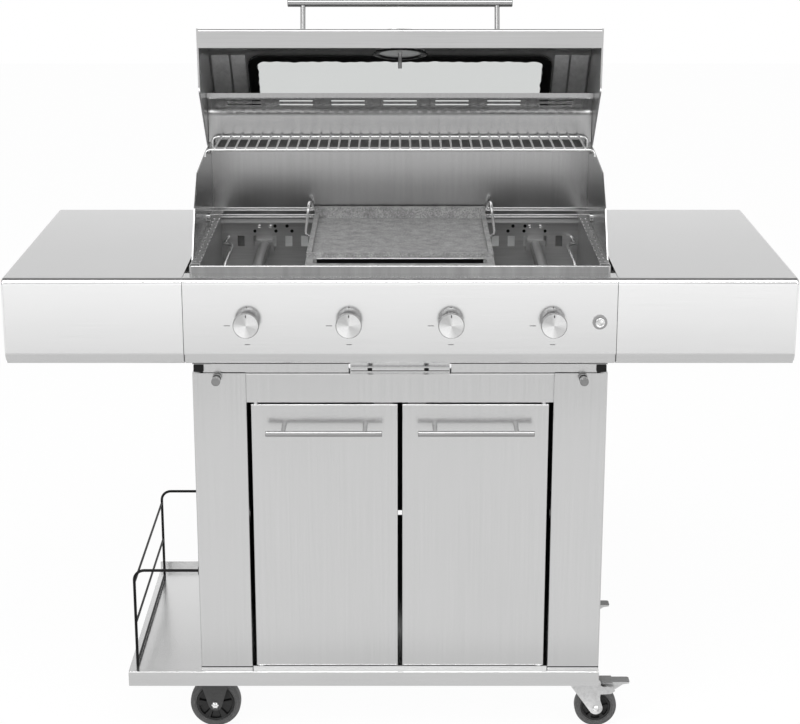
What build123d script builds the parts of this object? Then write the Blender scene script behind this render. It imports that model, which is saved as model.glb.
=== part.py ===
from build123d import *
import math
import os

# Four-burner gas grill on a cart, in millimetres. X is to the right, Y to the back and Z up.
# Depths are measured from the front of the control panel; the finished part is centred at the end.
# Heights stack up from the floor: casters, base, cart, firebox foot, firebox rim, hood.

# Head widths and the worktop
OVERALL_W = 1300.0
PANEL_W = 710.0
PANEL_H = 140.0
WORKTOP_DROP = 12.0
SHELF_DEPTH = 555.0
SHELF_REAR_APRON = 57.0
SHELF_GAP = 1.0
SHELF_EDGE_R = 4.0
SHEET = 1.5
FOLD_R = 2.5
NOSE_R = 10.0
TUCK_H = 15.0
TUCK_IN = 9.0
TUCK_BEND_R = 5.0
RETURN_BEND_R = 3.0
PANEL_RETURN = 40.0
BRACKET_L = 60.0
BRACKET_H = 40.0
BRACKET_REAR_IN = 30.0

# Firebox
SIDE_T = 2.0
BOX_FRONT_Y = 42.0
BOX_DEPTH = 401.0
HEAD_LIFT = 16.0
BOX_RIM_H = 169.0
TUB_SIDE_LEDGE = 15.8
TUB_LEDGE_RISE = 3.0
GRATE_DROP = 11.0
GRATE_LEDGE = 15.0
TUB_EDGE_H = 78.0
TUB_SPOUT_H = 38.0
TUB_SPOUT_END_H = 22.0
SPOUT_W = 160.0
TUB_BEND_R = 6.0
SIDE_NOSE_IN = 41.0
SIDE_KNEE_IN = 97.0
SIDE_KNEE_RISE = 76.0
SIDE_SHOULDER_IN = 156.0
SIDE_SHOULDER_RISE = 126.0
SIDE_TOP_LEN = 95.0
SIDE_TOP_RISE = 137.0
SIDE_FLANGE = 12.0
FOOT_FLANGE = 32.0
AIR_SLOT = (13.0, 20.0)
AIR_SLOT_PITCH = 29.4
AIR_SLOT_MARGIN = 25.0
AIR_SLOT_RISE = 8.0

# Rear wall
REAR_TOP_RISE = 93.0
REAR_SIDE_GAP = 1.0
REAR_BEND_RISE = 56.0
REAR_LEAN_Y = 23.0
REAR_LEAN_R = 20.0
REAR_LIP = 9.0
REAR_LIP_R = 3.0
REAR_STEP = 4.0
REAR_STEP_H = 12.0
REAR_STEP_R = 2.0
VENT_LEN = 60.0
VENT_H = 5.0
VENT_PITCH = 94.0
VENT_MARGIN = 30.0
VENT_ROWS = (8.0, 18.0)

# Burners, gas train and knobs
BURNER_PITCH = 167.0
BURNER_COUNT = 4
BURNER_R = 11.0
BURNER_WALL = 1.5
BURNER_DROP = 46.0
BURNER_FLAT = 28.0
BURNER_RISE_LEN = 44.0
BURNER_BEND_R = 30.0
BURNER_FOOT_W = 35.2
ELECTRODE_R = 3.5
ELECTRODE_TIP_R = 1.2
ELECTRODE_LEN = 60.0
ELECTRODE_TIP_LEN = 14.0
ELECTRODE_GAP = 7.0
KNOB_DROP = 72.0
KNOB_R = 20.0
KNOB_LEN = 20.0
KNOB_GAP = 7.0
KNOB_CAP = 5.0
KNOB_SKIRT = 1.5
KNOB_SKIRT_H = 3.0
KNOB_EDGE = 1.5
KNOB_RIM = 3.5
KNOB_DISH = 0.8
POINTER_W = 1.6
POINTER_LEN = 7.0
KNOB_TRAVEL = 4.0
SPINDLE_R = 4.0
SPINDLE_HOLE_R = 8.0
VALVE_FRONT_Y = 8.0
VALVE_LEN = 19.0
VALVE_BORE = 15.2
VALVE_W = 26.0
NOZZLE_R = 4.0
MANIFOLD_R = 9.0
INLET_R = 6.6
INLET_LEN = 14.0
IGNITER_INSET = 28.0
IGNITER_R = 8.0
IGNITER_BEZEL_R = 12.0
IGNITER_LEN = 33.6
IGNITER_BORE = 16.8
IGNITER_EDGE = 1.2
IGNITER_TRAVEL = 4.0

# Cooking pieces
GRIDDLE_W = 314.0
GRIDDLE_FRONT_GAP = 4.5
GRIDDLE_BACK_GAP = 1.0
GRIDDLE_T = 11.0
GRIDDLE_RIM = 8.0
GRIDDLE_RIM_H = 7.0
GRIDDLE_BACK_RIM_H = 20.0
GRIDDLE_TROUGH = 69.0
GRIDDLE_SLOT = (290.0, 34.0)
RACK_RISE = 12.0
RACK_BACK_GAP = 13.0
RACK_DEPTH = 138.0
RACK_WIRE_R = 2.5
RACK_ROD_R = 1.5
RACK_ROD_SIDES = 8
RACK_PITCH = 18.0
RACK_END_GAP = 12.0
RACK_FLANGE_LEAD = 36.0

# Hood, drawn closed and then swung open
HOOD_INSET = 2.0
HOOD_SHEET = 1.5
HOOD_SIDE_T = 3.0
PIVOT_COLLAR = 3.0
HOOD_OVERHANG = 32.0
HOOD_LIP_GAP = 1.0
HOOD_LIP_FLANGE = 34.0
HOOD_FRONT_LEN = 178.0
HOOD_FRONT_DEG = 67.4
HOOD_SLOPE_LEN = 236.0
HOOD_SLOPE_DEG = 38.0
HOOD_CROWN_IN = 23.0
HOOD_CROWN_RISE = 292.0
HOOD_REAR_OUT = 72.0
HOOD_REAR_RISE = 140.0
HOOD_EAVE_RISE = 116.0
HOOD_EAVE_REACH = 106.0
HOOD_CHEEK = 108.0
HOOD_BENDS = (45.0, 42.0, 25.0, 4.0)
PIVOT_INSET = 90.0
PIVOT_RISE = 16.0
PIVOT_R = 5.0
PIVOT_HEAD_R = 9.0
EAR_R = 24.0
HOOD_OPEN_DEG = 86.0
HANDLE_S = 40.0
HANDLE_LEN = 394.0
HANDLE_R = 7.0
HANDLE_EDGE = 1.0
HANDLE_POST_R = 4.5
HANDLE_POST_X = 170.0
HANDLE_STANDOFF = 54.0
WINDOW_START = 27.0
WINDOW_END = 39.0
WINDOW_W = 524.0
WINDOW_SEAL = 18.0
WINDOW_R = 14.0
GLASS_T = 4.0
SEAL_T = 2.0
GAUGE_S = 118.0
GAUGE_R = 38.0
GAUGE_H = 18.0
GAUGE_WALL = 3.0
GAUGE_DISH = 9.0
GAUGE_LENS_T = 2.0
GAUGE_LENS_DROP = 1.5
GAUGE_PIN_R = 1.5
GAUGE_PIN_H = 2.0
NEEDLE_HUB_R = 3.5
NEEDLE_LEN = 22.8
NEEDLE_W = 2.0
NEEDLE_T = 0.8
NEEDLE_LIFT = 1.2
GAUGE_BACK_R = 44.0
GAUGE_BACK_H = 18.0
GAUGE_NECK_R = 7.0
GAUGE_STEM_R = 3.5
GAUGE_STEM_LEN = 46.0

# Cart
CART_INSET = 7.0
CART_SETBACK = 3.0
CART_DEPTH = 455.0
CART_H = 542.0
POST_W = 90.0
POST_RETURN = 20.0
CART_REAR_FLANGE = 40.0
CART_TOP_FLANGE = 48.0
BACK_VENT_COUNT = 5
BACK_VENT_SPREAD = 300.0
HEADER_H = 52.0
HEADER_SHELF = 30.0
HEAD_RAIL_INSET = 18.0
DOOR_GAP = 7.0
DOOR_MEET = 7.4
DOOR_T = 18.0
DOOR_EDGE_R = 2.0
DOOR_TOP_GAP = 2.5
DOOR_FOOT_GAP = 8.0
HINGE_R = 4.0
HINGE_COLLAR_R = 6.0
HINGE_INSET = 8.0
HINGE_DEPTH = 8.0
BAR_LEN = 195.0
BAR_R = 5.0
BAR_EDGE = 0.8
BAR_POST_R = 4.0
BAR_POST_SPACING = 137.0
BAR_STANDOFF = 37.0
BAR_DROP = 40.0
PEG_INSET = 41.0
PEG_DROP = 9.0
PEG_R = 7.5
PEG_NECK_R = 4.5
PEG_HEAD_LEN = 8.8
PEG_EDGE = 1.5
PEG_LEN = 22.0
SPACER_R = 11.0
CATCH_T = 10.0
CATCH_W = 30.0

# Grease tray
TRAY_W = 160.0
TRAY_H = 16.0
TRAY_PROUD = 5.0
TRAY_LEN = 380.0
TRAY_FLANGE = 8.0
TRAY_LIP_W = 166.0
TRAY_LIP = 16.0
TRAY_LIFT = 4.0
RUNNER_T = 1.5

# Base and wire rail
BASE_H = 27.0
BASE_T = 2.0
BASE_EDGE_R = 1.5
BASE_LEDGE_FRONT = 10.0
BASE_LEDGE_BACK = 5.0
BASE_OVERHANG = 127.0
BASE_LIP = 15.0
RAIL_WIRE_R = 2.5
RAIL_ROD_R = 2.0
RAIL_WASHER_R = 7.5
RAIL_H = 180.0
RAIL_INSET = 13.0
RAIL_FRONT_IN = 26.0
RAIL_BACK_IN = 47.0
RAIL_CORNER_R = 18.0
RAIL_RODS_H = (157.0, 81.0, 6.0)

# Casters
CASTER_INSET = 65.0
FIXED_INSET = 18.0
FIXED_WHEEL_R = 45.0
FIXED_WHEEL_W = 25.0
WHEEL_CLEAR = 12.5
SWIVEL_INSET = 30.0
SWIVEL_WHEEL_R = 37.5
SWIVEL_WHEEL_W = 24.0
SWIVEL_TRAIL = 32.0
TYRE_H = 12.0
TYRE_CROWN = 4.0
TYRE_INSET = 2.0
HUB_R = 9.0
HUB_RECESS = 6.5
RIM_T = 3.0
AXLE_R = 4.0
AXLE_EYE_R = 12.0
FORK_T = 2.5
FORK_GAP = 2.0
PLATE_T = 3.0
PLATE_L = 60.0
PLATE_W = 56.0
RACE_R = 24.0
RACE_H = 4.0
CROWN_W = 48.0
KING_PIN_R = 6.0
KING_HEAD_R = 9.0
PEDAL_PIN_R = 2.5
PEDAL_HUB_R = 5.0
PEDAL_TAB_R = 5.5
PEDAL_LEN = 60.0
PEDAL_TOE = 12.0
PEDAL_W = 24.0
PEDAL_T = 5.0
PEDAL_ROOT = 3.5
PEDAL_RISE = 48.5
CHANNEL_W = 70.0
CHANNEL_BEND_R = 3.0

# Clearances
RUN = 0.05
SLIDE = 0.1
SEAT = 0.2
SIDE_PLAY = 3.0
END_PLAY = 1.0
CUT = 1.0

# Widths worked out from the sizes above
HOOD_X = PANEL_W / 2 - HOOD_INSET
HOOD_IN_X = HOOD_X - HOOD_SIDE_T
SIDE_X = HOOD_IN_X - PIVOT_COLLAR
SIDE_IN_X = SIDE_X - SIDE_T
TUB_X = SIDE_IN_X - SEAT - TUB_SIDE_LEDGE
REAR_TOP_X = HOOD_IN_X - REAR_SIDE_GAP
CART_X = PANEL_W / 2 - CART_INSET
POST_IN_X = CART_X - POST_W
SHELF_IN_X = PANEL_W / 2 + SHELF_GAP
SHELF_OUT_X = OVERALL_W / 2
DOOR_OUT_X = POST_IN_X - DOOR_GAP
DOOR_IN_X = DOOR_MEET / 2
HINGE_X = DOOR_OUT_X - HINGE_INSET
IGNITER_X = PANEL_W / 2 - IGNITER_INSET
BASE_LEFT_X = -CART_X - BASE_OVERHANG
RAIL_WIRE_X = BASE_LEFT_X + RAIL_INSET
FIXED_X = -CART_X + FIXED_INSET
SWIVEL_X = CART_X - SWIVEL_INSET
PEG_X = CART_X - PEG_INSET
BURNER_X = [(i - (BURNER_COUNT - 1) / 2) * BURNER_PITCH for i in range(BURNER_COUNT)]

# Heights
BASE_FOOT_Z = 2 * FIXED_WHEEL_R + FORK_T + WHEEL_CLEAR
BASE_Z = BASE_FOOT_Z + BASE_H
CART_TOP_Z = BASE_Z + CART_H
HEADER_Z = CART_TOP_Z - HEADER_H
DOOR_TOP_Z = HEADER_Z - DOOR_TOP_GAP
DOOR_FOOT_Z = BASE_Z + DOOR_FOOT_GAP
PEG_Z = CART_TOP_Z - PEG_DROP
RAIL_TOP_Z = BASE_Z + RAIL_H
TRAY_Z = CART_TOP_Z + TRAY_LIFT
TRAY_HANG_Z = TRAY_Z + TRAY_H - SHEET
BOX_FOOT_Z = CART_TOP_Z + HEAD_LIFT
BOX_RIM_Z = BOX_FOOT_Z + BOX_RIM_H
WORKTOP_Z = BOX_RIM_Z - WORKTOP_DROP
APRON_Z = WORKTOP_Z - PANEL_H
KNOB_Z = WORKTOP_Z - KNOB_DROP
TUB_LEDGE_Z = BOX_RIM_Z + TUB_LEDGE_RISE
GRATE_Z = TUB_LEDGE_Z - GRATE_DROP
TUB_EDGE_Z = BOX_FOOT_Z + TUB_EDGE_H
TUB_SPOUT_Z = BOX_FOOT_Z + TUB_SPOUT_H
TUB_SPOUT_END_Z = BOX_FOOT_Z + TUB_SPOUT_END_H
BURNER_Z = GRATE_Z - BURNER_DROP
AIR_SLOT_Z = BURNER_Z + AIR_SLOT_RISE
MANIFOLD_Z = KNOB_Z - VALVE_W / 2 - MANIFOLD_R - SEAT
SIDE_TOP_Z = BOX_RIM_Z + SIDE_TOP_RISE
REAR_BEND_Z = SIDE_TOP_Z + REAR_BEND_RISE
REAR_TOP_Z = SIDE_TOP_Z + REAR_TOP_RISE
RACK_Z = SIDE_TOP_Z + RACK_RISE
PIVOT_Z = BOX_RIM_Z + PIVOT_RISE
HOOD_LIP_Z = BOX_RIM_Z + HOOD_LIP_GAP
HOOD_EAVE_Z = HOOD_LIP_Z + HOOD_EAVE_RISE
SWIVEL_RACE_Z = BASE_FOOT_Z - PLATE_T - RACE_H
PEDAL_PIN_Z = SWIVEL_WHEEL_R + PEDAL_RISE

# Depths
BOX_BACK_Y = BOX_FRONT_Y + BOX_DEPTH
TUB_BACK_Y = BOX_BACK_Y - 2 * REAR_STEP
PIVOT_Y = BOX_BACK_Y - PIVOT_INSET
HOOD_LIP_Y = BOX_FRONT_Y - HOOD_OVERHANG
GRIDDLE_FRONT_Y = BOX_FRONT_Y + SHEET + GRIDDLE_FRONT_GAP
GRIDDLE_BACK_Y = TUB_BACK_Y - GRIDDLE_BACK_GAP
RACK_FRONT_Y = BOX_BACK_Y - RACK_BACK_GAP - RACK_DEPTH
CART_FRONT_Y = BOX_FRONT_Y + CART_SETBACK
CART_BACK_Y = CART_FRONT_Y + CART_DEPTH
HINGE_Y = CART_FRONT_Y + HINGE_DEPTH
TRAY_FRONT_Y = CART_FRONT_Y - TRAY_PROUD
BASE_FRONT_Y = CART_FRONT_Y - BASE_LEDGE_FRONT
BASE_BACK_Y = CART_BACK_Y + BASE_LEDGE_BACK
CASTERS_Y = {"front": BASE_FRONT_Y + CASTER_INSET, "rear": BASE_BACK_Y - CASTER_INSET}
KNOB_BACK_Y = -KNOB_GAP
KNOB_FACE_Y = KNOB_BACK_Y - KNOB_LEN
MANIFOLD_Y = VALVE_FRONT_Y + VALVE_LEN / 2

# Fold points and places with more than one coordinate
SIDE_KNEE = (BOX_FRONT_Y + SIDE_KNEE_IN, BOX_RIM_Z + SIDE_KNEE_RISE)
SIDE_SHOULDER = (BOX_FRONT_Y + SIDE_SHOULDER_IN, BOX_RIM_Z + SIDE_SHOULDER_RISE)
HOOD_CROWN = (BOX_BACK_Y - HOOD_CROWN_IN, HOOD_LIP_Z + HOOD_CROWN_RISE)
HOOD_REAR = (BOX_BACK_Y + HOOD_REAR_OUT, HOOD_LIP_Z + HOOD_REAR_RISE)
WINDOW_LEN = HOOD_SLOPE_LEN - WINDOW_START - WINDOW_END
PEDAL_PIN_X = SWIVEL_TRAIL + PEDAL_PIN_R
AIR_SLOT_COUNT = int((2 * (TUB_X - AIR_SLOT_MARGIN) - AIR_SLOT[0]) / AIR_SLOT_PITCH) + 1
VENT_COUNT = int((2 * (REAR_TOP_X - VENT_MARGIN) - VENT_LEN) / VENT_PITCH) + 1


# Shared helpers

def unit(angle):
    """Direction in a profile plane at an angle in degrees."""
    return math.cos(math.radians(angle)), math.sin(math.radians(angle))


def step(point, angle, distance):
    """Point reached from another by going a distance at an angle in degrees."""
    across, up = unit(angle)
    return point[0] + across * distance, point[1] + up * distance


def block(x0, x1, y0, y1, z0, z1):
    """Box between two corners."""
    box = Box(x1 - x0, y1 - y0, z1 - z0, align=(Align.MIN, Align.MIN, Align.MIN))
    return Pos(x0, y0, z0) * box


def along_x(face, x0, x1):
    """Profile drawn in Y and Z, extruded from x0 to x1."""
    return extrude(Plane.YZ.offset(x0) * face, amount=x1 - x0)


def along_y(face, y0, y1):
    """Profile drawn in X and Z, extruded from y0 to y1."""
    return extrude(Plane.XZ.offset(-y1) * face, amount=y1 - y0)


def along_z(face, z0, z1):
    """Profile drawn in X and Y, extruded from z0 to z1."""
    return extrude(Plane.XY.offset(z0) * face, amount=z1 - z0)


def rod(start, end, radius, sides=0):
    """Bar between two points, round or with a number of flat sides."""
    a = Vector(*start)
    b = Vector(*end)
    plane = Plane(origin=a, z_dir=(b - a).normalized())
    section = RegularPolygon(radius, sides) if sides else Circle(radius)
    return extrude(plane * section, amount=(b - a).length)


def polygon(*points):
    """Face with straight sides."""
    return make_face(Polyline(*points, close=True))


def wire_along(points, bend, radius):
    """Round wire bent at each inner point."""
    path = FilletPolyline(*points, radius=bend)
    profile = Plane(origin=path @ 0, z_dir=path % 0) * Circle(radius)
    return sweep(profile, path=path)


def sheet(points, bends, thickness):
    """Face of a folded sheet: one skin runs through the points, the other lies to its left."""
    heads = []
    for a, b in zip(points, points[1:]):
        length = math.dist(a, b)
        heads.append(((b[0] - a[0]) / length, (b[1] - a[1]) / length))
    normals = [(-head[1], head[0]) for head in heads]
    far = [(points[0][0] + normals[0][0] * thickness, points[0][1] + normals[0][1] * thickness)]
    far_bends = []
    for i, bend in enumerate(bends):
        before, after = normals[i], normals[i + 1]
        share = thickness / (1 + before[0] * after[0] + before[1] * after[1])
        corner = points[i + 1]
        far.append((corner[0] + (before[0] + after[0]) * share, corner[1] + (before[1] + after[1]) * share))
        turn = heads[i][0] * heads[i + 1][1] - heads[i][1] * heads[i + 1][0]
        far_bends.append(bend - math.copysign(thickness, turn))
    last = points[-1]
    far.append((last[0] + normals[-1][0] * thickness, last[1] + normals[-1][1] * thickness))
    near_line = FilletPolyline(*points, radius=list(bends))
    far_line = FilletPolyline(*reversed(far), radius=list(reversed(far_bends)))
    ends = [Line(near_line @ 1, far_line @ 0), Line(far_line @ 1, near_line @ 0)]
    return make_face([*near_line.edges(), ends[0], *far_line.edges(), ends[1]])


def mirrored(solid):
    """The same piece on the other side of the grill."""
    return mirror(solid, about=Plane.YZ)


def both_sides(solid):
    """A piece and its mirror image in one node."""
    return Compound(children=[solid, mirrored(solid)])


# Worktop pieces

def nose_points():
    """Bull nose and tucked lower edge shared by the control panel and the shelves."""
    return [(0, WORKTOP_Z), (0, APRON_Z + TUCK_H), (TUCK_IN, APRON_Z), (PANEL_RETURN, APRON_Z)]


def control_panel():
    """Bull-nosed panel with a hole for each spindle and one for the igniter."""
    skin = [(BOX_FRONT_Y - SEAT, WORKTOP_Z), *nose_points()]
    bends = [NOSE_R, TUCK_BEND_R, RETURN_BEND_R]
    panel = along_x(sheet(skin, bends, SHEET), -PANEL_W / 2, PANEL_W / 2)
    for x in BURNER_X:
        panel -= rod((x, -CUT, KNOB_Z), (x, SHEET + CUT, KNOB_Z), SPINDLE_HOLE_R)
    body_r = IGNITER_R + SHEET
    panel -= rod((IGNITER_X, -CUT, KNOB_Z), (IGNITER_X, SHEET + CUT, KNOB_Z), body_r + SEAT)
    return panel


def shelf_left():
    """Boxed side shelf, open below, with an inner flange for its brackets."""
    rear_foot = (SHELF_DEPTH, WORKTOP_Z - SHELF_REAR_APRON)
    skin = [rear_foot, (SHELF_DEPTH, WORKTOP_Z), *nose_points()]
    outline = polygon(*skin)
    nose = outline.vertices().sort_by_distance((0, WORKTOP_Z))[0]
    outline = fillet(nose, NOSE_R)
    shell = along_x(outline, -SHELF_OUT_X, -SHELF_IN_X)
    end_edges = shell.faces().sort_by(Axis.X)[0].edges()
    top_edge = end_edges.sort_by(Axis.Z)[-1]
    shell = fillet(top_edge, SHELF_EDGE_R)
    drop = PANEL_H
    inside = [
        (SHELF_DEPTH - SHEET, APRON_Z - drop),
        (SHELF_DEPTH - SHEET, WORKTOP_Z - SHEET),
        (SHEET, WORKTOP_Z - SHEET),
        (SHEET, APRON_Z + TUCK_H),
        (TUCK_IN + SHEET, APRON_Z + SHEET),
        (PANEL_RETURN, APRON_Z + SHEET),
        (PANEL_RETURN, APRON_Z - drop),
    ]
    hollow = polygon(*inside)
    inner_nose = hollow.vertices().sort_by_distance((0, WORKTOP_Z))[0]
    hollow = fillet(inner_nose, NOSE_R - SHEET)
    shell -= along_x(hollow, -SHELF_OUT_X + SHEET, -SHELF_IN_X)
    flange_foot = KNOB_Z - SHEET
    flange = block(
        -SHELF_IN_X - SHEET, -SHELF_IN_X,
        PANEL_RETURN, SHELF_DEPTH - SHEET,
        flange_foot, WORKTOP_Z - SHEET,
    )
    return shell + flange


def shelf_brackets():
    """Spacer blocks that carry the right shelf on the firebox side."""
    solids = []
    for y in (BOX_FRONT_Y + BRACKET_L, BOX_BACK_Y - BRACKET_REAR_IN - BRACKET_L):
        solids.append(block(SIDE_X, SHELF_IN_X, y, y + BRACKET_L, KNOB_Z, KNOB_Z + BRACKET_H))
    return solids


# Firebox pieces

def side_outline():
    """Outline of a firebox side plate in Y and Z."""
    return [
        (BOX_FRONT_Y + SHEET, BOX_FOOT_Z),
        (BOX_BACK_Y + SHEET, BOX_FOOT_Z),
        (BOX_BACK_Y + SHEET, SIDE_TOP_Z),
        (BOX_BACK_Y - SIDE_TOP_LEN, SIDE_TOP_Z),
        SIDE_SHOULDER,
        SIDE_KNEE,
        (BOX_FRONT_Y + SIDE_NOSE_IN, BOX_RIM_Z),
        (BOX_FRONT_Y + SHEET, BOX_RIM_Z),
    ]


def firebox_side_right():
    """Side plate with a rack flange on top, a foot flange and the hood pivot hole."""
    plate = along_x(polygon(*side_outline()), SIDE_IN_X, SIDE_X)
    top = block(
        SIDE_X - SIDE_FLANGE, SIDE_X, RACK_FRONT_Y - RACK_FLANGE_LEAD, BOX_BACK_Y - SEAT,
        SIDE_TOP_Z - SHEET, SIDE_TOP_Z,
    )
    rack_shelf = along_x(polygon(*side_outline()), SIDE_X - SIDE_FLANGE, SIDE_X)
    foot = block(
        SIDE_X - FOOT_FLANGE, SIDE_X, BOX_FRONT_Y + SHEET, BOX_BACK_Y + SHEET,
        BOX_FOOT_Z, BOX_FOOT_Z + SHEET,
    )
    plate += top & rack_shelf
    plate += foot
    return plate - rod((SIDE_IN_X - CUT, PIVOT_Y, PIVOT_Z), (SIDE_X + CUT, PIVOT_Y, PIVOT_Z), PIVOT_R)


def tub_outline(grow, foot_z, top_z):
    """Section of the tub in X and Z, its skin moved outward by a wall or by nothing."""
    slope = (TUB_EDGE_Z - TUB_SPOUT_Z) / (TUB_X - SPOUT_W / 2)
    drop = grow * (math.hypot(1, slope) - slope)
    right = [
        (SPOUT_W / 2 + grow, foot_z),
        (SPOUT_W / 2 + grow, TUB_SPOUT_Z - drop),
        (TUB_X + grow, TUB_EDGE_Z - drop),
        (TUB_X + grow, top_z),
    ]
    left = [(-x, z) for x, z in reversed(right)]
    radii = [0, FOLD_R + SHEET - grow, TUB_BEND_R + grow, 0]
    return make_face(FilletPolyline(*right, *left, radius=[*radii, *reversed(radii)], close=True))


def firebox_tub():
    """Tub with a spout slot in its floor, air slots in the back and a ledge for the grates."""
    half = SIDE_IN_X - SEAT
    wall_x = TUB_X + SHEET / 2
    inside_y = BOX_FRONT_Y + SHEET
    end_y = TUB_BACK_Y + SHEET
    above = TUB_LEDGE_Z + CUT
    ledge_y = HOOD_LIP_Y + HOOD_LIP_FLANGE + SIDE_PLAY
    tub = along_y(tub_outline(SHEET, TUB_SPOUT_END_Z, TUB_LEDGE_Z), BOX_FRONT_Y, end_y)
    tub -= along_y(tub_outline(0, TUB_SPOUT_END_Z - CUT, above), inside_y, TUB_BACK_Y)
    tub -= block(-half, half, BOX_FRONT_Y - CUT, ledge_y, BOX_RIM_Z, above)
    tub -= block(-half, half, TUB_BACK_Y, end_y + CUT, GRATE_Z, above)
    tub += block(-half, half, BOX_FRONT_Y, inside_y, TUB_EDGE_Z, BOX_RIM_Z)
    for x0, x1 in ((-half, -wall_x), (wall_x, half)):
        tub += block(x0, x1, ledge_y, TUB_BACK_Y, TUB_LEDGE_Z - SHEET, TUB_LEDGE_Z)
    front_ledge = (BOX_FRONT_Y + SHEET / 2, inside_y + GRATE_LEDGE)
    back_ledge = (TUB_BACK_Y - GRATE_LEDGE, end_y)
    for y0, y1 in (front_ledge, back_ledge):
        tub += block(-wall_x, wall_x, y0, y1, GRATE_Z - SHEET, GRATE_Z)
    slots = GridLocations(AIR_SLOT_PITCH, 1, AIR_SLOT_COUNT, 1)
    slot_face = Sketch() + [loc * Rectangle(*AIR_SLOT) for loc in slots]
    tub -= along_y(Pos(0, AIR_SLOT_Z) * slot_face, TUB_BACK_Y - CUT, end_y + CUT)
    for x in BURNER_X:
        tub -= rod((x, BOX_FRONT_Y - CUT, KNOB_Z), (x, inside_y + CUT, KNOB_Z), BURNER_R + SEAT)
    return tub


def rear_wall():
    """Rear wall with a stepped foot, a wider vented upper part and a lip that leans forward."""
    wide_z = SIDE_TOP_Z + SEAT
    lean = (BOX_BACK_Y - REAR_LEAN_Y, REAR_TOP_Z - REAR_LIP)
    foot_z = TUB_LEDGE_Z + REAR_STEP_H + SEAT
    step_y = BOX_BACK_Y - REAR_STEP
    low_y = TUB_BACK_Y
    upper_skin = [
        (lean[0], REAR_TOP_Z),
        lean,
        (BOX_BACK_Y, REAR_BEND_Z),
        (BOX_BACK_Y, wide_z),
    ]
    lower_skin = [
        (BOX_BACK_Y, wide_z + SHEET),
        (BOX_BACK_Y, foot_z),
        (step_y, foot_z - REAR_STEP),
        (step_y, foot_z - REAR_STEP_H),
        (low_y, foot_z - REAR_STEP_H - REAR_STEP),
        (low_y, GRATE_Z + SEAT),
    ]
    upper = along_x(sheet(upper_skin, [REAR_LIP_R, REAR_LEAN_R], SHEET), -REAR_TOP_X, REAR_TOP_X)
    half = SIDE_IN_X - SEAT
    lower = along_x(sheet(lower_skin, 4 * [REAR_STEP_R], SHEET), -half, half)
    across = math.atan2(REAR_BEND_Z - lean[1], BOX_BACK_Y - lean[0])
    outward = (0, math.sin(across), -math.cos(across))
    spots = GridLocations(VENT_PITCH, 1, VENT_COUNT, 1)
    vents = Sketch() + [loc * Rectangle(VENT_LEN, VENT_H) for loc in spots]
    for row in VENT_ROWS:
        spot = step(lean, math.degrees(across), row)
        plane = Plane(origin=(0, *spot), x_dir=(1, 0, 0), z_dir=outward)
        upper -= extrude(plane * vents, amount=3 * SHEET, both=True)
    return upper + lower


def burner(x):
    """Pressed tube burner: inlet at the valve, rise to cooking height, bracket on the rear wall."""
    mouth_y = VALVE_FRONT_Y + VALVE_LEN + SPINDLE_R
    rise_y = BOX_FRONT_Y + BURNER_FLAT
    path = [
        (x, mouth_y, KNOB_Z),
        (x, rise_y, KNOB_Z),
        (x, rise_y + BURNER_RISE_LEN, BURNER_Z),
        (x, TUB_BACK_Y - BURNER_R, BURNER_Z),
    ]
    tube = wire_along(path, BURNER_BEND_R, BURNER_R)
    tube -= rod(path[0], path[1], BURNER_R - BURNER_WALL)
    foot = block(
        x - BURNER_FOOT_W / 2, x + BURNER_FOOT_W / 2, TUB_BACK_Y - BURNER_R - SHEET, TUB_BACK_Y - SEAT,
        BURNER_Z - BURNER_R, BURNER_Z + BURNER_R,
    )
    return tube + foot


def burners():
    """All burners in one node."""
    return Compound(children=[burner(x) for x in BURNER_X])


def electrode(x):
    """Ceramic igniter rod held in the front wall beside a burner."""
    centre = x + BURNER_R + ELECTRODE_GAP + ELECTRODE_R
    root_y = BOX_FRONT_Y + SHEET
    tip_y = BOX_FRONT_Y + ELECTRODE_LEN
    end_y = tip_y + ELECTRODE_TIP_LEN
    ceramic = rod((centre, root_y, BURNER_Z), (centre, tip_y, BURNER_Z), ELECTRODE_R)
    return ceramic + rod((centre, tip_y - CUT, BURNER_Z), (centre, end_y, BURNER_Z), ELECTRODE_TIP_R)


def igniter_electrodes():
    """One electrode for each burner."""
    return Compound(children=[electrode(x) for x in BURNER_X])


def griddle():
    """Cast plate with raised rims, a higher back and a slotted front trough."""
    half = GRIDDLE_W / 2
    plate_z = GRATE_Z + SEAT
    floor_z = plate_z + GRIDDLE_T - GRIDDLE_RIM_H / 2
    rim_z = floor_z + GRIDDLE_RIM_H
    back_z = floor_z + GRIDDLE_BACK_RIM_H
    step_y = GRIDDLE_FRONT_Y + GRIDDLE_TROUGH
    back_y = GRIDDLE_BACK_Y - GRIDDLE_RIM
    length = GRIDDLE_BACK_Y - GRIDDLE_FRONT_Y
    outline = Pos(0, GRIDDLE_FRONT_Y + length / 2) * RectangleRounded(GRIDDLE_W, length, GRIDDLE_RIM / 2)
    plate = along_z(outline, plate_z, back_z)
    plate -= block(-half - CUT, half + CUT, GRIDDLE_FRONT_Y - CUT, back_y, rim_z, back_z + CUT)
    plate -= block(-half - CUT, half + CUT, GRIDDLE_FRONT_Y - CUT, step_y - GRIDDLE_RIM, floor_z, rim_z + CUT)
    plate -= block(-half + GRIDDLE_RIM, half - GRIDDLE_RIM, step_y, back_y, floor_z, rim_z + CUT)
    slot_y = GRIDDLE_FRONT_Y + (GRIDDLE_TROUGH - GRIDDLE_RIM) / 2
    slot = Pos(0, slot_y) * RectangleRounded(*GRIDDLE_SLOT, GRIDDLE_RIM)
    return plate - along_z(slot, plate_z - CUT, rim_z + CUT)


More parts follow.
